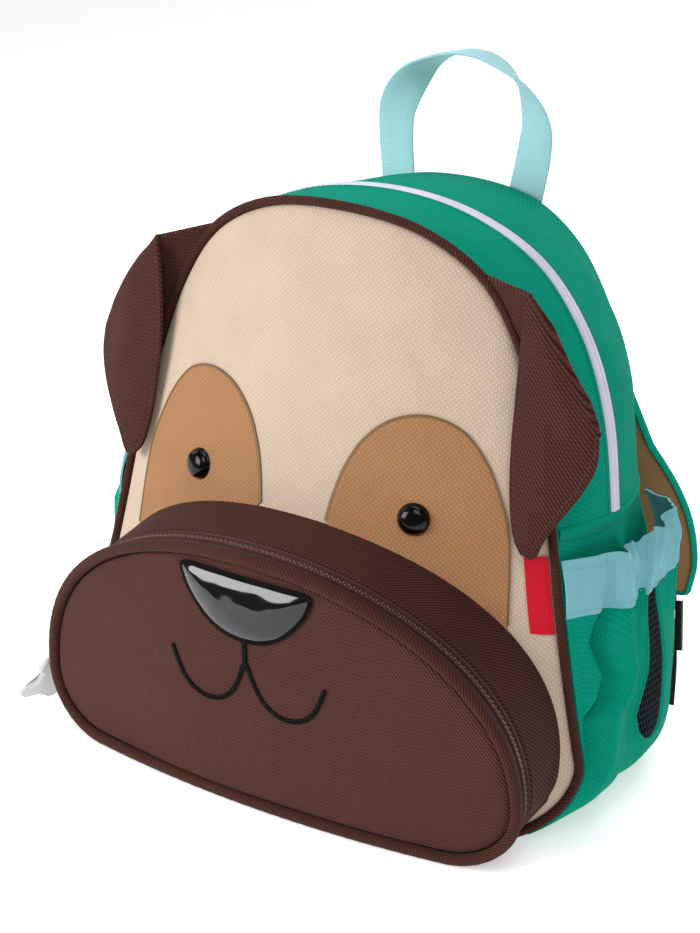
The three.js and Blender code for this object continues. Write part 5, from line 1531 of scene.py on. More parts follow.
@dataclass
class Ears:
    """The two folded ears sewn into the front seam."""

    body: BagBody
    wall: float = 2.4
    fold_radius: float = 2.8
    reach: float = 20.0
    seam_top: float = 0.925
    seam_low: float = 0.74
    # inner x, z and distance out, then outer x, z and distance out, from the fold to the tip
    rows: tuple = ((0.705, 0.908, 0.92, 0.97, 0.708, 0.93), (0.695, 0.83, 0.66, 0.975, 0.665, 0.93),
                   (0.69, 0.74, 0.42, 0.945, 0.62, 0.9), (0.695, 0.655, 0.33, 0.89, 0.572, 0.82),
                   (0.715, 0.57, 0.3, 0.845, 0.532, 0.68), (0.745, 0.522, 0.36, 0.825, 0.508, 0.56),
                   (0.778, 0.504, 0.44, 0.806, 0.5, 0.5))
    # how much higher the right ear's upper corner stands than the left one's
    tilt: float = 7.0
    columns: int = 9

    def control(self, side: int) -> Array:
        """Rows of points of an ear on the right: its root in the seam, its fold and its hanging flap.

        Args:
            side: 1 for the right ear, -1 for the left one, which hangs a little lower.

        Returns:
            (rows, columns, 3) points, from the root to the tip.
        """
        form = self.body.form
        s = np.linspace(0, 1, self.columns)
        a = np.linspace(form.corner_end, 1, 2000)
        rise = form.ring_at(1, a)[1] / form.height
        a = np.interp(lerp(self.seam_top, self.seam_low, s), rise, a)
        (px, pz), (qx, qz) = form.ring_at(1, a), form.ring_at(1, a - 1e-3)
        length = np.hypot(qx - px, qz - pz)
        clear = self.body.piping * 0.5
        seam = join(px + (pz - qz) / length * clear, form.front_seam_y(px, pz) + self.body.piping * 0.4,
                     pz + (qx - px) / length * clear)
        flap = []
        for k, (inner_x, inner_z, inner_out, outer_x, outer_z, outer_out) in enumerate(self.rows):
            x = lerp(inner_x, outer_x, s) * form.half_width
            z = lerp(inner_z, outer_z, s) * form.height + side * self.tilt / 2 * (1 - s) / (1 + k)
            out = lerp(inner_out, outer_out, s) * (1 + 0.12 * np.sin(math.pi * s)) * self.reach
            flap.append(join(x, form.front_seam_y(x, z) - out, z))
        along = unit(flap[0][-1] - flap[0][0])
        outward = unit(np.array([-along[2], 0.0, along[0]]))

        def fold(away: float, back: float) -> Array:
            """A row round the fold, a share of its radius away from the flap and behind it."""
            ends = np.minimum(1.0, 4.0 * np.minimum(1 - s, s))[:, None]
            shift = away * ends * outward + np.array([0.0, back, 0.0]) * (0.2 + 0.8 * ends)
            return flap[0] + self.fold_radius * shift

        behind = fold(0, 2)
        turn = [fold(0.7, 1.7), fold(1, 1), fold(0.7, 0.3)]
        return np.array([seam, lerp(seam, behind, 0.5), behind, *turn, *flap])

    def ear(self, side: int, name: str) -> Piece:
        """One ear: two layers of twill closed along its edges, topstitched down both sides."""
        rows = self.control(side)
        steps = np.linspace(0, 1, 150)
        p = np.stack([catmull(rows[:, k], steps) for k in range(self.columns)], axis=1)
        p = np.stack([catmull(row, np.linspace(0, 1, 48)) for row in p])
        p = p * np.array([side, 1.0, 1.0])
        n = grid_normals(p)
        n = n * np.where(np.sum(n[-30, 20] * [0, -1, 0]) < 0, -1.0, 1.0)
        run, down = lengths_along(p, 1), lengths_along(p, 0)
        edge = np.minimum(run, run[:, -1:] - run)
        low = down[-1:] - down
        edge = np.minimum(edge, low)
        half = self.wall / 2 * np.sqrt(np.clip(edge / 1.2, 0.04, 1)) * (1 - 0.3 * bell(edge - 3.6, 0.7))
        soft = 0.5 * smooth(edge / 10) * ripple(run, down, 45, 51 + side)
        centre = p + n * soft[..., None]
        front, back = centre + n * half[..., None], centre - n * half[..., None]
        build = MeshBuilder()
        build.shell(front, back, p[..., [0, 2]])
        inset = 6
        start = 52
        column = [np.argmin(np.abs(run[i] - 3.6)) for i in range(start, 150 - inset)]
        other = [np.argmin(np.abs(run[i, -1] - run[i] - 3.6)) for i in range(start, 150 - inset)]
        at = np.arange(start, 150 - inset)
        for columns in (column, other):
            stitch_row(build, front[at, columns], n[at, columns], 2.2, 0.8, 0.22, mark=1)
        return build.piece(f"ear_{name}", "cloth", [EAR, BROWN_THREAD], "brown_cloth", fill=0.3)

    def build(self) -> list[Piece]:
        """Makes both ears."""
        return [self.ear(side, name) for side, name in SIDES]


def flat_frames(path: Array, wide: Array) -> tuple[Array, Array, Array]:
    """Directions along, across and out of a flat strip whose width lies near `wide`."""
    along = unit(np.gradient(path, axis=0))
    across = unit(wide - along * np.sum(wide * along, axis=-1, keepdims=True))
    return along, across, np.cross(across, along)


def tape(build: MeshBuilder, points: Array, wide: Array, width: float, wall: float, step: float = 1.5,
         mark: int = 0, bend: bool = True) -> tuple[Array, Array, Array]:
    """Adds a flat tape through points.

    Args:
        build: the mesh it goes to.
        points: corners of its middle line.
        wide: the direction of its width at each corner.
        width: how wide it is.
        wall: how thick it is.
        step: distance between its sections.
        mark: which material it takes.
        bend: whether the middle line is smooth through its corners.

    Returns:
        The middle line, the width's direction and the outward direction along it.
    """
    both = np.hstack([points, np.broadcast_to(wide, points.shape)])
    if bend:
        both = catmull(both, np.linspace(0, 1, 40 * len(points)))
    both = resample(both, step)
    path = both[:, :3]
    _, across, out = flat_frames(path, both[:, 3:])
    first = len(build.marks)
    build.tube(path, across, out, lambda i: soft_section(width, wall, wall * 0.5))
    build.marks[first:] = [mark] * (len(build.marks) - first)
    return path, across, out


@dataclass
class Handle:
    """The carry loop of aqua webbing, sewn on the back with a stitched line along each edge of both its ends.
    """

    body: BagBody
    width: float = 20.0
    wall: float = 1.8
    half_span: float = 42.0
    rise: float = 75.0
    lean: float = 5.5
    lap: float = 14.0

    def build(self) -> list[Piece]:
        """Makes the loop."""
        form = self.body.form
        foot_x = self.half_span * 0.91
        a = np.linspace(0.6, 1, 1000)
        ring_x, ring_z = form.ring_at(3, a)
        top = float(np.interp(-foot_x, -ring_x, ring_z)) - 3.0
        low = top - self.lap
        y = float(form.back_y(np.array(foot_x), np.array(top - 6.0))) + 1.2 + self.wall / 2
        shape = np.array([(0.91, 0), (0.91, self.lap / self.rise), (0.98, 0.5), (0.97, 0.72), (0.7, 0.97),
                          (0.36, 1.1)])
        half = join(-shape[:, 0] * self.half_span, np.full(6, y), low + shape[:, 1] * self.rise)
        points = np.vstack([half, [[0, y, low + 1.14 * self.rise]], half[::-1] * [-1, 1, 1]])
        points[:, 0] -= self.lean
        t = np.linspace(-1, 1, 160)
        line = catmull(points, (t + 1) / 2)
        turn = np.sin(math.pi * (t + 1) / 2)[:, None] ** 4
        wide = np.hstack([np.where(t < 0, -1.0, 1.0)[:, None] * (1 - turn), -turn, np.zeros((160, 1))])
        build = MeshBuilder()
        path, across, out = tape(build, line, wide, self.width, self.wall, 1.2, bend=False)
        for way in (-1, 1):
            edge = path + across * way * (self.width / 2 - 2.2)
            for stop in (slice(0, 13), slice(-13, None)):
                for sign in (-1, 1):
                    lift = out[stop] * sign
                    line = edge[stop] + lift * (self.wall / 2 + 0.05)
                    stitch_row(build, line, lift, 2.0, 0.8, 0.25, mark=1)
        return [build.piece("carry_handle", "webbing", [WEBBING_AQUA, AQUA_THREAD], "aqua_cloth")]


@dataclass
class Straps:
    """The shoulder straps: pads with their binding, tab, ladder lock and webbing."""

    body: BagBody
    width: float = 50.0
    wall: float = 8.0
    bow: float = 35.0
    binding_wall: float = 1.8
    binding_width: float = 6.4
    webbing_width: float = 22.0
    webbing_wall: float = 1.6
    tail: float = 46.0
    anchor_x: float = 103.0
    anchor_z: float = 14.0
    anchor_lap: float = 14.0
    lock_width: float = 32.0
    lock_length: float = 27.0
    lock_wall: float = 3.0
    lock_bar: float = 3.0
    tab_length: float = 6.0
    play: float = 0.5
    # height share, x share of the back's half width, bow share and width share, from the low end up
    rows: tuple = ((0.27, 0.89, 0.58, 0.72), (0.32, 0.865, 0.72, 0.86), (0.39, 0.785, 0.82, 0.94),
                   (0.475, 0.62, 0.86, 0.97), (0.58, 0.495, 0.8, 1), (0.695, 0.395, 0.6, 1),
                   (0.81, 0.33, 0.27, 0.96), (0.885, 0.31, 0, 0.88))

    def line(self, side: int, z: Array) -> Array:
        """The pad's middle line at shares of the bag's height.

        Args:
            side: 1 for the right strap, -1 for the left one.
            z: shares of the bag's height.

        Returns:
            (n, 3) points.
        """
        form = self.body.form
        x = table_value(self.rows, 1, z) * form.back_half_width
        bow = np.maximum(table_value(self.rows, 2, z), 0) * self.bow
        y = form.back_y(x, z * form.height) + 0.3 + self.wall / 2 + bow
        return join(side * x, y, z * form.height)

    def pad(self, side: int, name: str) -> Piece:
        """The padded tan strap."""
        z = np.linspace(self.rows[-1][0], self.rows[0][0], 130)
        path = self.line(side, z)
        _, across, out = flat_frames(path, np.array([side, 0, 0]))
        half = table_value(self.rows, 3, z) * self.width / 2

        def section(i: int) -> Array:
            """The pad's section: full in the middle, thinner at its edges, creased now and then."""
            turn = TAU * np.arange(48) / 48
            x, y = np.cos(turn), np.sin(turn)
            wide = np.sign(x) * np.abs(x) ** 0.45 * half[i]
            low = 0.5 + 0.5 * np.sqrt(np.clip(1 - (wide / half[i]) ** 2, 0, 1))
            crease = 1 - 0.1 * math.exp(-(((i % 26) - 13) / 1.4) ** 2)
            return join(wide, np.sign(y) * np.abs(y) ** 0.6 * self.wall / 2 * low * crease)

        build = MeshBuilder()
        build.tube(path, across, out, section)
        return build.piece(f"shoulder_strap_{name}", "pad", [TAN], "tan_cloth", fill=0.3)

    def binding(self, side: int, name: str) -> Piece:
        """The green tape folded over the pad's edge, down one side, round the end and up the other."""
        z = np.linspace(self.rows[-1][0], self.rows[0][0], 130)
        path = self.line(side, z)
        along, across, out = flat_frames(path, np.array([side, 0, 0]))
        half = table_value(self.rows, 3, z)[:, None] * self.width / 2
        off = self.play + self.binding_wall / 2
        ends = []
        for way in (1, -1):
            ends.append(np.hstack([path + across * way * (half + off * 0.6), out]))
        turn = np.linspace(0, math.pi, 26)[1:-1, None]
        wide = np.sign(np.cos(turn)) * np.abs(np.cos(turn)) ** 0.35
        corner = path[-1] + across[-1] * wide * (half[-1] + off * 0.6)
        corner = corner + along[-1] * np.sin(turn) ** 0.6 * off
        round_end = np.hstack([corner, np.broadcast_to(out[-1], corner.shape)])
        both = np.vstack([ends[0], round_end, ends[1][::-1]])
        both = resample(both, 1.6)
        line, lift = both[:, :3], unit(both[:, 3:])
        side_way, up = frames_along(line, lift)
        build = MeshBuilder()
        build.tube(line, side_way, up,
                   lambda i: soft_section(self.binding_wall * 1.5, self.binding_width, 1.2))
        for sign in (1, -1):
            stitch_row(build, line - side_way * 0.2 + up * sign * (self.binding_width / 2 + 0.02), up * sign,
                       2.0, 0.8, 0.2, mark=1)
        return build.piece(f"strap_binding_{name}", "tape", [GREEN, GREEN_THREAD], "green_cloth")

    def hardware(self, side: int, name: str) -> list[Piece]:
        """The sewn tab, the ladder lock on it and the webbing that runs through the lock."""
        form = self.body.form
        z = np.linspace(self.rows[-1][0], self.rows[0][0], 13)
        path = self.line(side, z)
        _, across_at, out_at = flat_frames(path, np.array([side, 0, 0]))
        down = unit(path[-1] - path[-2])
        off = self.play + self.binding_wall / 2
        over = across_at[-1] * side
        out = np.cross(over, down)
        out = out * (1 if out[1] > 0 or np.dot(out, out_at[-1]) > 0 else -1)
        start = path[-1] + down * (off + self.binding_wall / 2 + 0.3)

        def local(d: float, n: float) -> Array:
            """A point a distance down from the pad's end and a distance out."""
            return start + down * d + out * n

        around = math.hypot(self.lock_bar, self.lock_wall) / 2 + self.play + self.webbing_wall / 2
        pitch = (self.lock_length - self.lock_bar) / 2
        bar = self.tab_length
        loop = np.array([local(0, around), local(bar, around), local(bar + 0.7 * around, 0.7 * around),
                         local(bar + around, 0), local(bar + 0.7 * around, -0.7 * around),
                         local(bar, -around), local(0, -around)])
        tab = MeshBuilder()
        tape(tab, loop, over, self.webbing_width, self.webbing_wall, 0.9)
        pieces = [tab.piece(f"strap_tab_{name}", "webbing", [WEBBING], "black_webbing")]

        lock = MeshBuilder()
        rail = (self.lock_width - self.webbing_width) / 2 - self.play
        for way in (-1, 1):
            centre = over * way * (self.lock_width - rail) / 2
            line = np.array([local(bar - self.lock_bar / 2 + t, 0) + centre for t in (0, self.lock_length / 2,
                                                                                    self.lock_length)])
            lock.tube(line, over, out,
                      lambda i: soft_section(rail, self.lock_wall, 1.0))
        for k in range(3):
            at = local(bar + k * pitch, 0)
            line = np.array([at + over * t * (self.lock_width / 2 - 1.5) for t in (-1, 0, 1)])
            lock.tube(line, down, out,
                      lambda i: soft_section(self.lock_bar, self.lock_wall * 0.9, 1.0))
        pieces.append(lock.piece(f"ladder_lock_{name}", "plastic", [PLASTIC], "black_plastic"))

        middle = bar + pitch
        tail_top = local(middle + around, around * 1.1)
        anchor_y = [float(form.back_y(np.array(self.anchor_x), np.array(z))) + 1.0 + self.webbing_wall / 2
                    for z in (self.anchor_z + self.anchor_lap, self.anchor_z)]
        anchor = np.array([side * self.anchor_x, anchor_y[0], self.anchor_z + self.anchor_lap])
        run = np.array([
            tail_top + [0, self.tail * 0.2, -self.tail],
            tail_top + [0, self.tail * 0.14, -self.tail / 2], tail_top,
            local(middle, around), local(middle - 0.7 * around, 0.7 * around), local(middle - around, 0),
            local(middle - 0.7 * around, -0.7 * around), local(middle, -around),
            local(middle + pitch + self.lock_bar, -around),
            anchor + [0, self.webbing_wall * 1.5, self.webbing_wall * 2], anchor,
            [side * self.anchor_x, anchor_y[1], self.anchor_z]])
        wide = np.array([over] * 9 + [[1.0, 0.0, 0.0]] * 3)
        wide[9:] *= np.sign(over[0])
        webbing = MeshBuilder()
        tape(webbing, run, wide, self.webbing_width, self.webbing_wall, 1.2)
        pieces.append(webbing.piece(f"strap_webbing_{name}", "tape", [WEBBING], "black_webbing"))
        return pieces

    def build(self) -> list[Piece]:
        """Makes both straps."""
        return [piece for side, name in SIDES
                for piece in (self.pad(side, name), self.binding(side, name), *self.hardware(side, name))]


@dataclass
class SidePockets:
    """The bottle pockets: green cloth with a deep fold, a window of net and a gathered aqua hem."""

    body: BagBody
    foot: float = 0.24
    top: float = 0.425
    hem_top: float = 0.483
    front: float = 0.016
    back: float = 0.975
    puff: float = 20.0
    skin: float = 1.0
    wall: float = 1.4
    hem_wall: float = 2.0
    net_pitch: float = 3.3
    net_thread: float = 0.36
    # how tall and how deep the pocket's cloth is
    size: tuple = (112.0, 186.0)
    # share of the depth, then stand-off shares at the foot, low, high and at the hem
    rows: tuple = ((0, 0, 0, 0, 0), (0.1, 0, 0.08, 0.1, 0.12), (0.2, 0, 0.2, 0.28, 0.3),
                   (0.3, 0, 0.26, 0.36, 0.36), (0.4, 0, 0.14, 0.16, 0.2),
                   (0.54, 0.05, 0.38, 0.42, 0.42), (0.7, 0.1, 0.55, 0.56, 0.6),
                   (0.8, 0.1, 0.55, 0.6, 0.62), (0.88, 0.1, 0.45, 0.5, 0.5), (0.94, 0.05, 0.2, 0.25, 0.22),
                   (1, 0, 0, 0, 0))
    # the window of net: share of the pocket's height, middle and half width as shares of its depth
    window: tuple = ((0.38, 0.59, 0), (0.4, 0.587, 0.045), (0.44, 0.578, 0.078), (0.5, 0.57, 0.088),
                     (0.57, 0.582, 0.076), (0.66, 0.598, 0.064), (0.8, 0.577, 0.054), (0.9, 0.552, 0.046),
                     (1.01, 0.54, 0.043))
    # the long crease in front of the window: share of the height, share of the depth, millimetres deep
    crease: tuple = ((0, 0, 2), (0.25, 0.02, 3), (0.41, 0.035, 5), (0.6, 0.075, 6), (0.66, 0.16, 7),
                     (0.74, 0.2, 7), (0.87, 0.15, 6), (0.96, 0.19, 5), (1.05, 0.23, 3))
    levels: tuple = (0.0, 0.35, 0.8, 1.0)

    def stand_off(self, a: Array, v: Array) -> Array:
        """How far the pocket stands off the gusset.

        Args:
            a: places up the gusset's ring.
            v: shares of the gusset's depth.

        Returns:
            The distances.
        """
        h = (a - self.foot) / (self.top - self.foot)
        values = [np.maximum(table_value(self.rows, k, v), 0) for k in (1, 2, 3, 4)]
        total = values[0] * np.ones_like(h)
        for k in range(3):
            t = smooth((h - self.levels[k]) / (self.levels[k + 1] - self.levels[k]))
            total = total + t * (values[k + 1] - values[k])
        return self.skin + self.puff * total

    def place(self, side: int, a: Array, v: Array, lift: Array) -> Array:
        """Points of the pocket.

        Args:
            side: 1 for the right pocket, -1 for the left one.
            a: places up the gusset's ring.
            v: shares of the gusset's depth.
            lift: how far they stand out from the pocket's inner face.

        Returns:
            The points, none below the floor.
        """
        a, v = np.broadcast_arrays(a, v)
        n = self.body.form.normals(side * a, v)
        p = self.body.form.outside(side * a, v) + n * (self.stand_off(a, v) + lift)[..., None]
        p[..., 2] = np.maximum(p[..., 2], 0.6)
        return p

    def opening(self, h: Array) -> tuple[Array, Array]:
        """The window's middle and half width at a share of the pocket's height."""
        table = np.array(self.window)
        return np.interp(h, table[:, 0], table[:, 1]), np.interp(h, table[:, 0], table[:, 2])

    def crumple(self, h: Array, v: Array, seed: int) -> Array:
        """Folds of the pocket's cloth: a long deep crease, a swell behind it and fine pulls under the hem.

        Args:
            h: share of the pocket's height.
            v: share of its depth.
            seed: which small folds it has.

        Returns:
            How far the cloth stands out, in millimetres.
        """
        table = np.array(self.crease)
        away = (v - np.interp(h, table[:, 0], table[:, 1])) * self.size[1]
        deep = -np.interp(h, table[:, 0], table[:, 2]) * bell(away, np.where(away < 0, 5.0, 4.0))
        swell = 8.0 * bell(away - 15, np.where(away < 15, 7.0, 20.0)) * smooth((h - 0.1) / 0.4)
        swell = (swell + 2.2 * bell(away + 13, 6)) * (1 - 0.5 * smooth((h - 0.85) / 0.15))
        pull = 1.3 * np.sin(v * 60 + 4 * np.sin(v * 17 + seed))
        pull = pull * smooth((h - 0.72) / 0.28) * smooth((v - 0.2) / 0.1)
        wave = 0.8 * ripple(h * 110, v * 180, 34, seed) * np.sin(math.pi * np.clip(h, 0, 1))
        return (deep + swell + pull + wave) * smooth((v - self.front) / 0.04) * smooth((self.back - v) / 0.03)

    def panel(self, side: int, name: str, part: str) -> Piece:
        """Makes the cloth in front of or behind the window.

        Args:
            side: 1 for the right pocket, -1 for the left one.
            name: the side's name.
            part: "front" or "back".

        Returns:
            The cloth, with stitches along the window.
        """
        h = np.linspace(0, 1, 150)[:, None]
        t = dense_ends(100)[None, :]
        middle, half = self.opening(h)
        v = lerp(self.front, middle - half, t) if part == "front" else lerp(middle + half, self.back, t)
        near_window = np.abs(np.abs(v - middle) - half) * self.size[1]
        lift = self.wall + self.crumple(h, v, 61 + side)
        lift = lift + folded_edge(near_window, 0.9, 0.5) * smooth(half / 0.03)
        a = lerp(self.foot, self.top + 0.003, h)
        lift = np.maximum(lift, 0.4 - self.stand_off(a, v))
        p = self.place(side, a, v, lift)
        inner = self.place(side, a, v, lift - self.wall * 0.8)
        build = MeshBuilder()
        build.shell(p, inner, cloth_uv(p))
        column = np.argmin(np.abs(near_window - 3.4), axis=1)
        rows = np.flatnonzero(half[:, 0] > 0.01)
        out = unit(p - inner)
        stitch_row(build, p[rows, column[rows]], out[rows, column[rows]], 2.0, 0.9, 0.22, mark=1)
        return build.piece(f"pocket_{part}_{name}", "cloth", [GREEN, GREEN_THREAD], "green_cloth")

    def net(self, side: int, name: str) -> Piece:
        """The black net: six-sided cells of knitted thread over a near-black sheet, painted shade for the
        pocket's shaded inside.
        """
        build = MeshBuilder()
        height, depth = self.size
        rise = self.net_pitch * math.sqrt(0.75)
        starts, ends = [], []
        for row in range(-1, int(height / rise) + 2):
            for column in range(int(depth * 0.45 / self.net_pitch), int(depth * 0.7 / self.net_pitch)):
                x, y = (column + (row % 2) / 2) * self.net_pitch, row * rise
                corner = [(x + self.net_pitch / math.sqrt(3) * math.sin(k * math.pi / 3),
                           y + self.net_pitch / math.sqrt(3) * math.cos(k * math.pi / 3)) for k in range(4)]
                starts += corner[:-1]
                ends += corner[1:]
        start, end = (np.array(points) / [height, depth][::-1] for points in (starts, ends))

        def inside(p: Array) -> Array:
            """Whether points lie in the window."""
            middle, half = self.opening(p[:, 1])
            return (p[:, 1] > 0.38) & (p[:, 1] < 0.995) & (np.abs(p[:, 0] - middle) < half + 0.004)

        def on_pocket(v: Array, h: Array, off: float) -> Array:
            """Points laid on the crumpled pocket."""
            lift = np.maximum(off + self.crumple(h, v, 61 + side), 0.6 - self.stand_off(self.foot + 0 * v, v))
            return self.place(side, lerp(self.foot, self.top, h), v, lift)

        keep = inside(start) & inside(end)
        a, b = on_pocket(*start[keep].T, 0.7), on_pocket(*end[keep].T, 0.7)
        lift = self.body.form.normals(side * lerp(self.foot, self.top, start[keep][:, 1]), start[keep][:, 0])
        build.spindles(a - (b - a) * 0.12, b + (b - a) * 0.12, self.net_thread, lift)
        # A near-black sheet under the threads: painted shade for the pocket's shaded inside seen through the
        # net
        h = np.linspace(0.375, 1.0, 90)[:, None]
        middle, half = self.opening(h)
        v = middle + (half + 0.012) * np.linspace(-1, 1, 24)[None, :]
        h = np.broadcast_to(h, v.shape)
        first = len(build.marks)
        sheet = on_pocket(v, h, 0.2)
        build.shell(sheet, on_pocket(v, h, -0.1), cloth_uv(sheet))
        build.marks[first:] = [1] * (len(build.marks) - first)
        return build.piece(f"pocket_mesh_{name}", "net", [MESH, NET_SHADE_SHEET], "black_mesh", sharp=80,
                           turned=False)

    def hem(self, side: int, name: str) -> Piece:
        """The aqua casing, gathered by its elastic."""
        h = np.linspace(0, 1, 46)[:, None]
        v = np.linspace(self.front, self.back, 360)[None, :]
        a = lerp(self.top + 0.0004, self.hem_top, h)
        across = np.clip(np.sin(math.pi * (v - self.front) / (self.back - self.front)), 0, 1)
        fan = smooth((h - 0.1) / 0.8)
        loose = smooth((v - 0.2) / 0.12) * smooth((self.back - v) / 0.12)
        beat = v * 40 + 2.4 * np.sin(v * 9.5 + side) + 0.9 * np.sin(v * 19)
        knot = bell(v - 0.43, 0.11)
        fine = np.sin(beat) + 0.6 * np.sin(2.3 * beat + 1.2 + 2.0 * h)
        fine = fine + 0.4 * ripple(h * 26, v * 186, 14, 71 + side)
        gather = ((0.5 + 1.6 * fan) * fine + 1.5 * knot * np.sin(v * 170 - 3 * h) * (0.4 + 0.6 * fan)) * loose
        lobes = (2.5 * bell(v - 0.31, 0.06) - 6.5 * bell(v - 0.43, 0.035)
                 + 4.5 * bell(v - 0.58, 0.09) + 2.0 * bell(v - 0.78, 0.06))
        under = self.crumple(1.0 + 0 * v, v, 61 + side) * (1 - 0.7 * h)
        lift = self.hem_wall + under + gather
        lift = lift + lobes * across * (0.35 + 0.65 * fan) + 1.4 * np.sin(math.pi * h)
        lift = np.maximum(lift - 0.6 * np.exp(-h / 0.03), 0.6 - self.stand_off(a, v))
        rise = (0.005 * np.sin(beat + 0.7) - 0.009 * bell(v - 0.43, 0.05)) * smooth((h - 0.4) / 0.6) * loose
        rise = rise - 0.006 * bell(v - 0.5, 0.07) * (1 - fan)
        p = self.place(side, a + rise, v, lift)
        inner = self.place(side, a + rise, v, lift - 1.1)
        build = MeshBuilder()
        build.shell(p, inner, cloth_uv(p))
        out = unit(p - inner)
        for row in (4, 38):
            stitch_row(build, p[row], out[row], 1.8, 1.0, 0.22, mark=1)
        return build.piece(f"pocket_hem_{name}", "casing", [AQUA, AQUA_THREAD], "aqua_cloth")

    def build(self) -> list[Piece]:
        """Makes both pockets."""
        return [piece for side, name in SIDES
                for piece in (self.panel(side, name, "front"), self.panel(side, name, "back"),
                              self.net(side, name), self.hem(side, name))]


@dataclass
class ZipPull:
    """A zip slider and the see-through rubber bone that swings on its bridge."""

    name: str
    surface: Callable
    u: float
    v: float
    swing: float
    length: float = 36.0
    lobe: float = 6.0
    shaft: float = 11.0
    wall: float = 3.0
    bar: float = 2.0
    eye: float = 2.6
    twist: float = 30.0
    edge: float = 0.9
    slider_length: float = 11.0
    slider_width: float = 8.0
    slider_wall: float = 2.2
    bridge_wall: float = 1.4
    bridge_width: float = 2.0
    play: float = 0.5
    gap: float = 0.3

    def frame(self) -> tuple[Array, Array, Array, Array]:
        """The slider's place on the zip: its base, and the directions down, over and out."""
        step = 1e-3

        def at(u: float, v: float) -> Array:
            """One point of the zip."""
            return self.surface(np.array(u), np.array(v)).reshape(3)

        base = at(self.u, self.v)
        normal = unit(np.cross(at(self.u + step, self.v) - at(self.u - step, self.v),
                               at(self.u, self.v + step) - at(self.u, self.v - step)))
        out = normal * np.sign(normal[0] * base[0])
        low = -1 if at(self.u - step, self.v)[2] < at(self.u + step, self.v)[2] else 1
        slope = at(self.u + low * step, self.v) - base
        down = unit(slope - out * np.dot(slope, out))
        return base, down, np.cross(out, down), out

    def slider(self) -> Piece:
        """The lacquered slider with its bridge."""
        base, down, over, out = self.frame()
        inner = math.hypot(self.bar, self.wall) + 2 * self.play
        build = MeshBuilder()
        t = np.linspace(-1, 1, 13)
        line = base + out * (self.gap + self.slider_wall / 2) + down * t[:, None] * self.slider_length / 2
        build.tube(line, over, out,
                   lambda i: soft_section(self.slider_width * (1 - 0.22 * abs(t[i]) ** 3),
                                          self.slider_wall, 0.8))
        half = inner / 2 + self.bridge_wall / 2
        low = self.gap + self.slider_wall - 0.4
        high = self.gap + self.slider_wall + inner + self.bridge_wall / 2
        left = np.array([(-half, low), (-half, low + 0.4 * inner), (-half * 0.96, high - 1.0),
                         (-half * 0.7, high)])
        flat = catmull(np.vstack([left, left[::-1] * [-1, 1]]), np.linspace(0, 1, 50))
        line = base + down * flat[:, :1] + out * flat[:, 1:]
        across, up = frames_along(line, over)
        build.tube(line, across, up, lambda i: soft_section(self.bridge_wall, self.bridge_width, 0.5))
        return build.piece(f"{self.name}_slider", "metal", [METAL], "dark_metal")

    def outline(self) -> Array:
        """The bone, flat: distance down the pull and across it."""
        near, far = self.lobe - self.bar / 2, self.length - self.lobe
        side, half = self.lobe * 1.05, self.shaft / 2

        def arc(d: float, w: float, start: float, stop: float) -> Array:
            """One lobe's round edge, between two angles in half turns."""
            turn = np.linspace(start, stop, 22) * math.pi
            return join(d + self.lobe * np.cos(turn), w + self.lobe * np.sin(turn))

        parts = [[(-self.bar / 2, 0)], arc(near, -side, 1, 1.85),
                 [(near + self.lobe * 1.4, -half), (far - self.lobe * 1.4, -half)], arc(far, -side, 1.15, 2),
                 [(far + self.lobe * 0.6, 0)], arc(far, side, 0, 0.85),
                 [(far - self.lobe * 1.4, half), (near + self.lobe * 1.4, half)], arc(near, side, 0.15, 1)]
        p = resample(np.vstack([np.array(part, float) for part in parts]), 0.6, closed=True)
        for _ in range(2):
            p = (np.roll(p, 1, axis=0) + 2 * p + np.roll(p, -1, axis=0)) / 4
        return p

    def pull(self) -> Piece:
        """The bone with rounded edges, its eye on the slider's bridge."""
        base, down, over, out = self.frame()
        inner = math.hypot(self.bar, self.wall) + 2 * self.play
        pivot = base + out * (self.gap + self.slider_wall + inner / 2)
        swung = math.radians(self.swing)
        hang = down * math.cos(swung) + out * math.sin(swung)
        face = np.cross(hang, over)
        outline = self.outline()
        count = len(outline)
        eye_at = self.bar / 2 + self.eye
        start = np.arctan2(outline[:, 1], outline[:, 0] - eye_at)
        hole = join(eye_at + self.eye * np.cos(start), self.eye * np.sin(start))
        inward = leftward(outline)
        inward *= 1 if np.sum(inward * (np.array([self.length / 2, 0]) - outline)) > 0 else -1
        rings = []
        for share in (0.0, 0.35, 0.7, 1.0):
            angle = share * math.pi / 2
            rings.append((outline + inward * self.edge * (1 - math.cos(angle)),
                          self.wall / 2 - self.edge * (1 - math.sin(angle))))
        flat = [lerp(rings[-1][0], hole, t) for t in (0.12, 0.3, 0.55, 0.8)] + [hole]
        top = [(ring, height) for ring, height in rings] + [(ring, self.wall / 2) for ring in flat]
        layers = top + [(ring, -height) for ring, height in reversed(top)]
        p = np.array([np.hstack([ring, np.full((count, 1), height)]) for ring, height in layers])
        share = np.clip((p[..., 0] - eye_at - self.eye) / (self.length - eye_at - self.eye), 0, 1)
        angle = np.radians(self.twist) * share
        w = p[..., 1] * np.cos(angle) - p[..., 2] * np.sin(angle)
        n = p[..., 1] * np.sin(angle) + p[..., 2] * np.cos(angle)
        placed = pivot + p[..., :1] * hang + w[..., None] * over + n[..., None] * face
        build = MeshBuilder()
        index = build.grid(placed, np.zeros(placed.shape[:2] + (2,)), wrap=True)
        build.strip(index[-1], index[0], wrap=True)
        return build.piece(f"{self.name}_pull", "rubber", [RUBBER], "clear_rubber", sharp=50,
                           body=f"{self.name}_zip_pull")

    def build(self) -> list[Piece]:
        """Makes the slider and its pull."""
        return [self.slider(), self.pull()]


def rising_place(height: Callable[[float], float], low: float, high: float, value: float) -> float:
    """Where a rising height reaches a value.

    Args:
        height: the height at a place.
        low: a place below it.
        high: a place above it.
        value: the height wanted.

    Returns:
        The place.
    """
    for _ in range(40):
        middle = (low + high) / 2
        low, high = (middle, high) if height(middle) < value else (low, middle)
    return low


# Studio


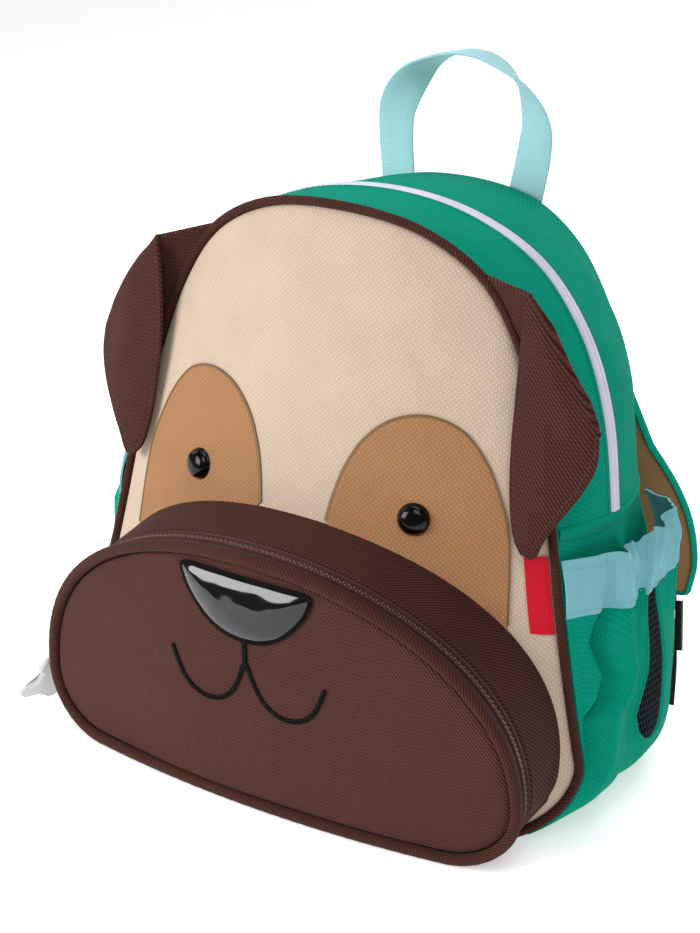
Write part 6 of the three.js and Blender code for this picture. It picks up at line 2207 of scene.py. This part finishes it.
@dataclass
class Studio:
    """A white sweep, soft boxes and the photograph's camera."""

    eye: tuple = (498.27, -847.62, 503.74)
    right: tuple = (0.85208, 0.52045, 0.05563)
    up: tuple = (-0.21570, 0.25232, 0.94330)
    forward: tuple = (-0.47690, 0.81576, -0.32726)
    lens: float = 79.7

    def light(self, name: str, place: tuple, target: tuple, size: tuple, power: float) -> None:
        """Adds a soft box.

        Args:
            name: the light's name.
            place: where it hangs, in metres.
            target: what it faces, in metres.
            size: its width and height, in metres.
            power: its power in watts.
        """
        data = bpy.data.lights.new(name, "AREA")
        data.shape = "RECTANGLE"
        data.size, data.size_y = size
        data.energy = power
        made = bpy.data.objects.new(name, data)
        made.location = place
        aim = Vector(target) - Vector(place)
        made.rotation_euler = aim.to_track_quat("-Z", "Y").to_euler()
        bpy.context.scene.collection.objects.link(made)

    def camera(self) -> None:
        """Places the camera."""
        data = bpy.data.cameras.new("photo camera")
        data.lens = self.lens
        data.sensor_width = data.sensor_height = 36
        data.sensor_fit = "VERTICAL"
        made = bpy.data.objects.new("photo camera", data)
        columns = [self.right, self.up, tuple(-c for c in self.forward)]
        turn = Matrix([[columns[k][i] for k in range(3)] for i in range(3)]).to_4x4()
        made.matrix_world = Matrix.Translation(Vector(self.eye) * MM) @ turn
        bpy.context.scene.collection.objects.link(made)
        bpy.context.scene.camera = made

    def floor(self) -> None:
        """A wide white floor that rises softly behind the bag."""
        build = MeshBuilder()
        x = np.linspace(-4000, 4000, 9)[None, :]
        run = np.array([-520.0, 0.0, 1500.0, 2200.0, 2500.0, 2700.0, 2800.0, 2850.0, 2860.0])
        rise = np.array([0.0, 0.0, 0.0, 60.0, 180.0, 380.0, 640.0, 1000.0, 3200.0])
        p = join(x, run[:, None], rise[:, None])
        build.grid(p, np.zeros(p.shape[:2] + (2,)))
        paint = Smooth("white paper sweep", "fbfbfb", 0.9)
        shader = paint.build().node_tree.nodes["Principled BSDF"]
        shader.inputs["Emission Color"].default_value = (1, 1, 1, 1)
        shader.inputs["Emission Strength"].default_value = 0.48
        build.make("studio_sweep", [paint], sharp=80)

    def build(self) -> None:
        """Makes the studio."""
        self.floor()
        self.camera()
        self.light("key soft box", (0.9, -1.3, 1.7), (0, 0, 0.15), (1.2, 1.2), 16)
        self.light("front soft box", (-0.78, -1.25, 0.56), (0, 0, 0.12), (0.95, 0.75), 20)
        self.light("left soft box", (-1.6, 0.1, 1.1), (0, 0, 0.15), (1.0, 1.2), 6)
        self.light("top soft box", (0.1, 0.5, 2.0), (0, 0, 0.1), (1.6, 1.2), 19)
        world = bpy.data.worlds.new("white studio")
        world.use_nodes = True
        world.node_tree.nodes["Background"].inputs["Color"].default_value = (1, 1, 1, 1)
        world.node_tree.nodes["Background"].inputs["Strength"].default_value = 0.16
        scene = bpy.context.scene
        scene.world = world
        scene.view_settings.view_transform = "Standard"
        scene.view_settings.look = "None"


def main() -> None:
    """Builds the bag piece by piece, then the studio."""
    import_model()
    body = BagBody(BagForm())
    muzzle = Muzzle(MuzzleForm(body.form), body)
    middle = muzzle.piping + muzzle.gap + muzzle.zip_width / 2

    def muzzle_v(u: float) -> float:
        """Where the muzzle zip's middle lies on the band."""
        return float(muzzle.near(muzzle.arch, np.array(u), middle))

    muzzle_u = rising_place(lambda u: muzzle.arch(np.array(u), np.array(muzzle_v(u)))[..., 2], -1, -0.5,
                            MUZZLE_SLIDER_HEIGHT)
    share = body.form.zip_share
    main_u = rising_place(lambda u: body.arch(np.array(u), np.array(share))[..., 2], -1, -0.5,
                          MAIN_SLIDER_HEIGHT)
    assemblies = [
        body, muzzle, Eyes(body, muzzle.form), SideTag(body), Ears(body), Handle(body), Straps(body),
        SidePockets(body),
        ZipPull("muzzle", muzzle.arch, muzzle_u, muzzle_v(muzzle_u), 30.0),
        ZipPull("main", body.arch, main_u, share, 22.0),
    ]
    for assembly in assemblies:
        for piece in assembly.build():
            piece.register()
    Studio().build()


if __name__ == "__main__":
    logging.basicConfig(level=logging.INFO, format="%(message)s")
    main()
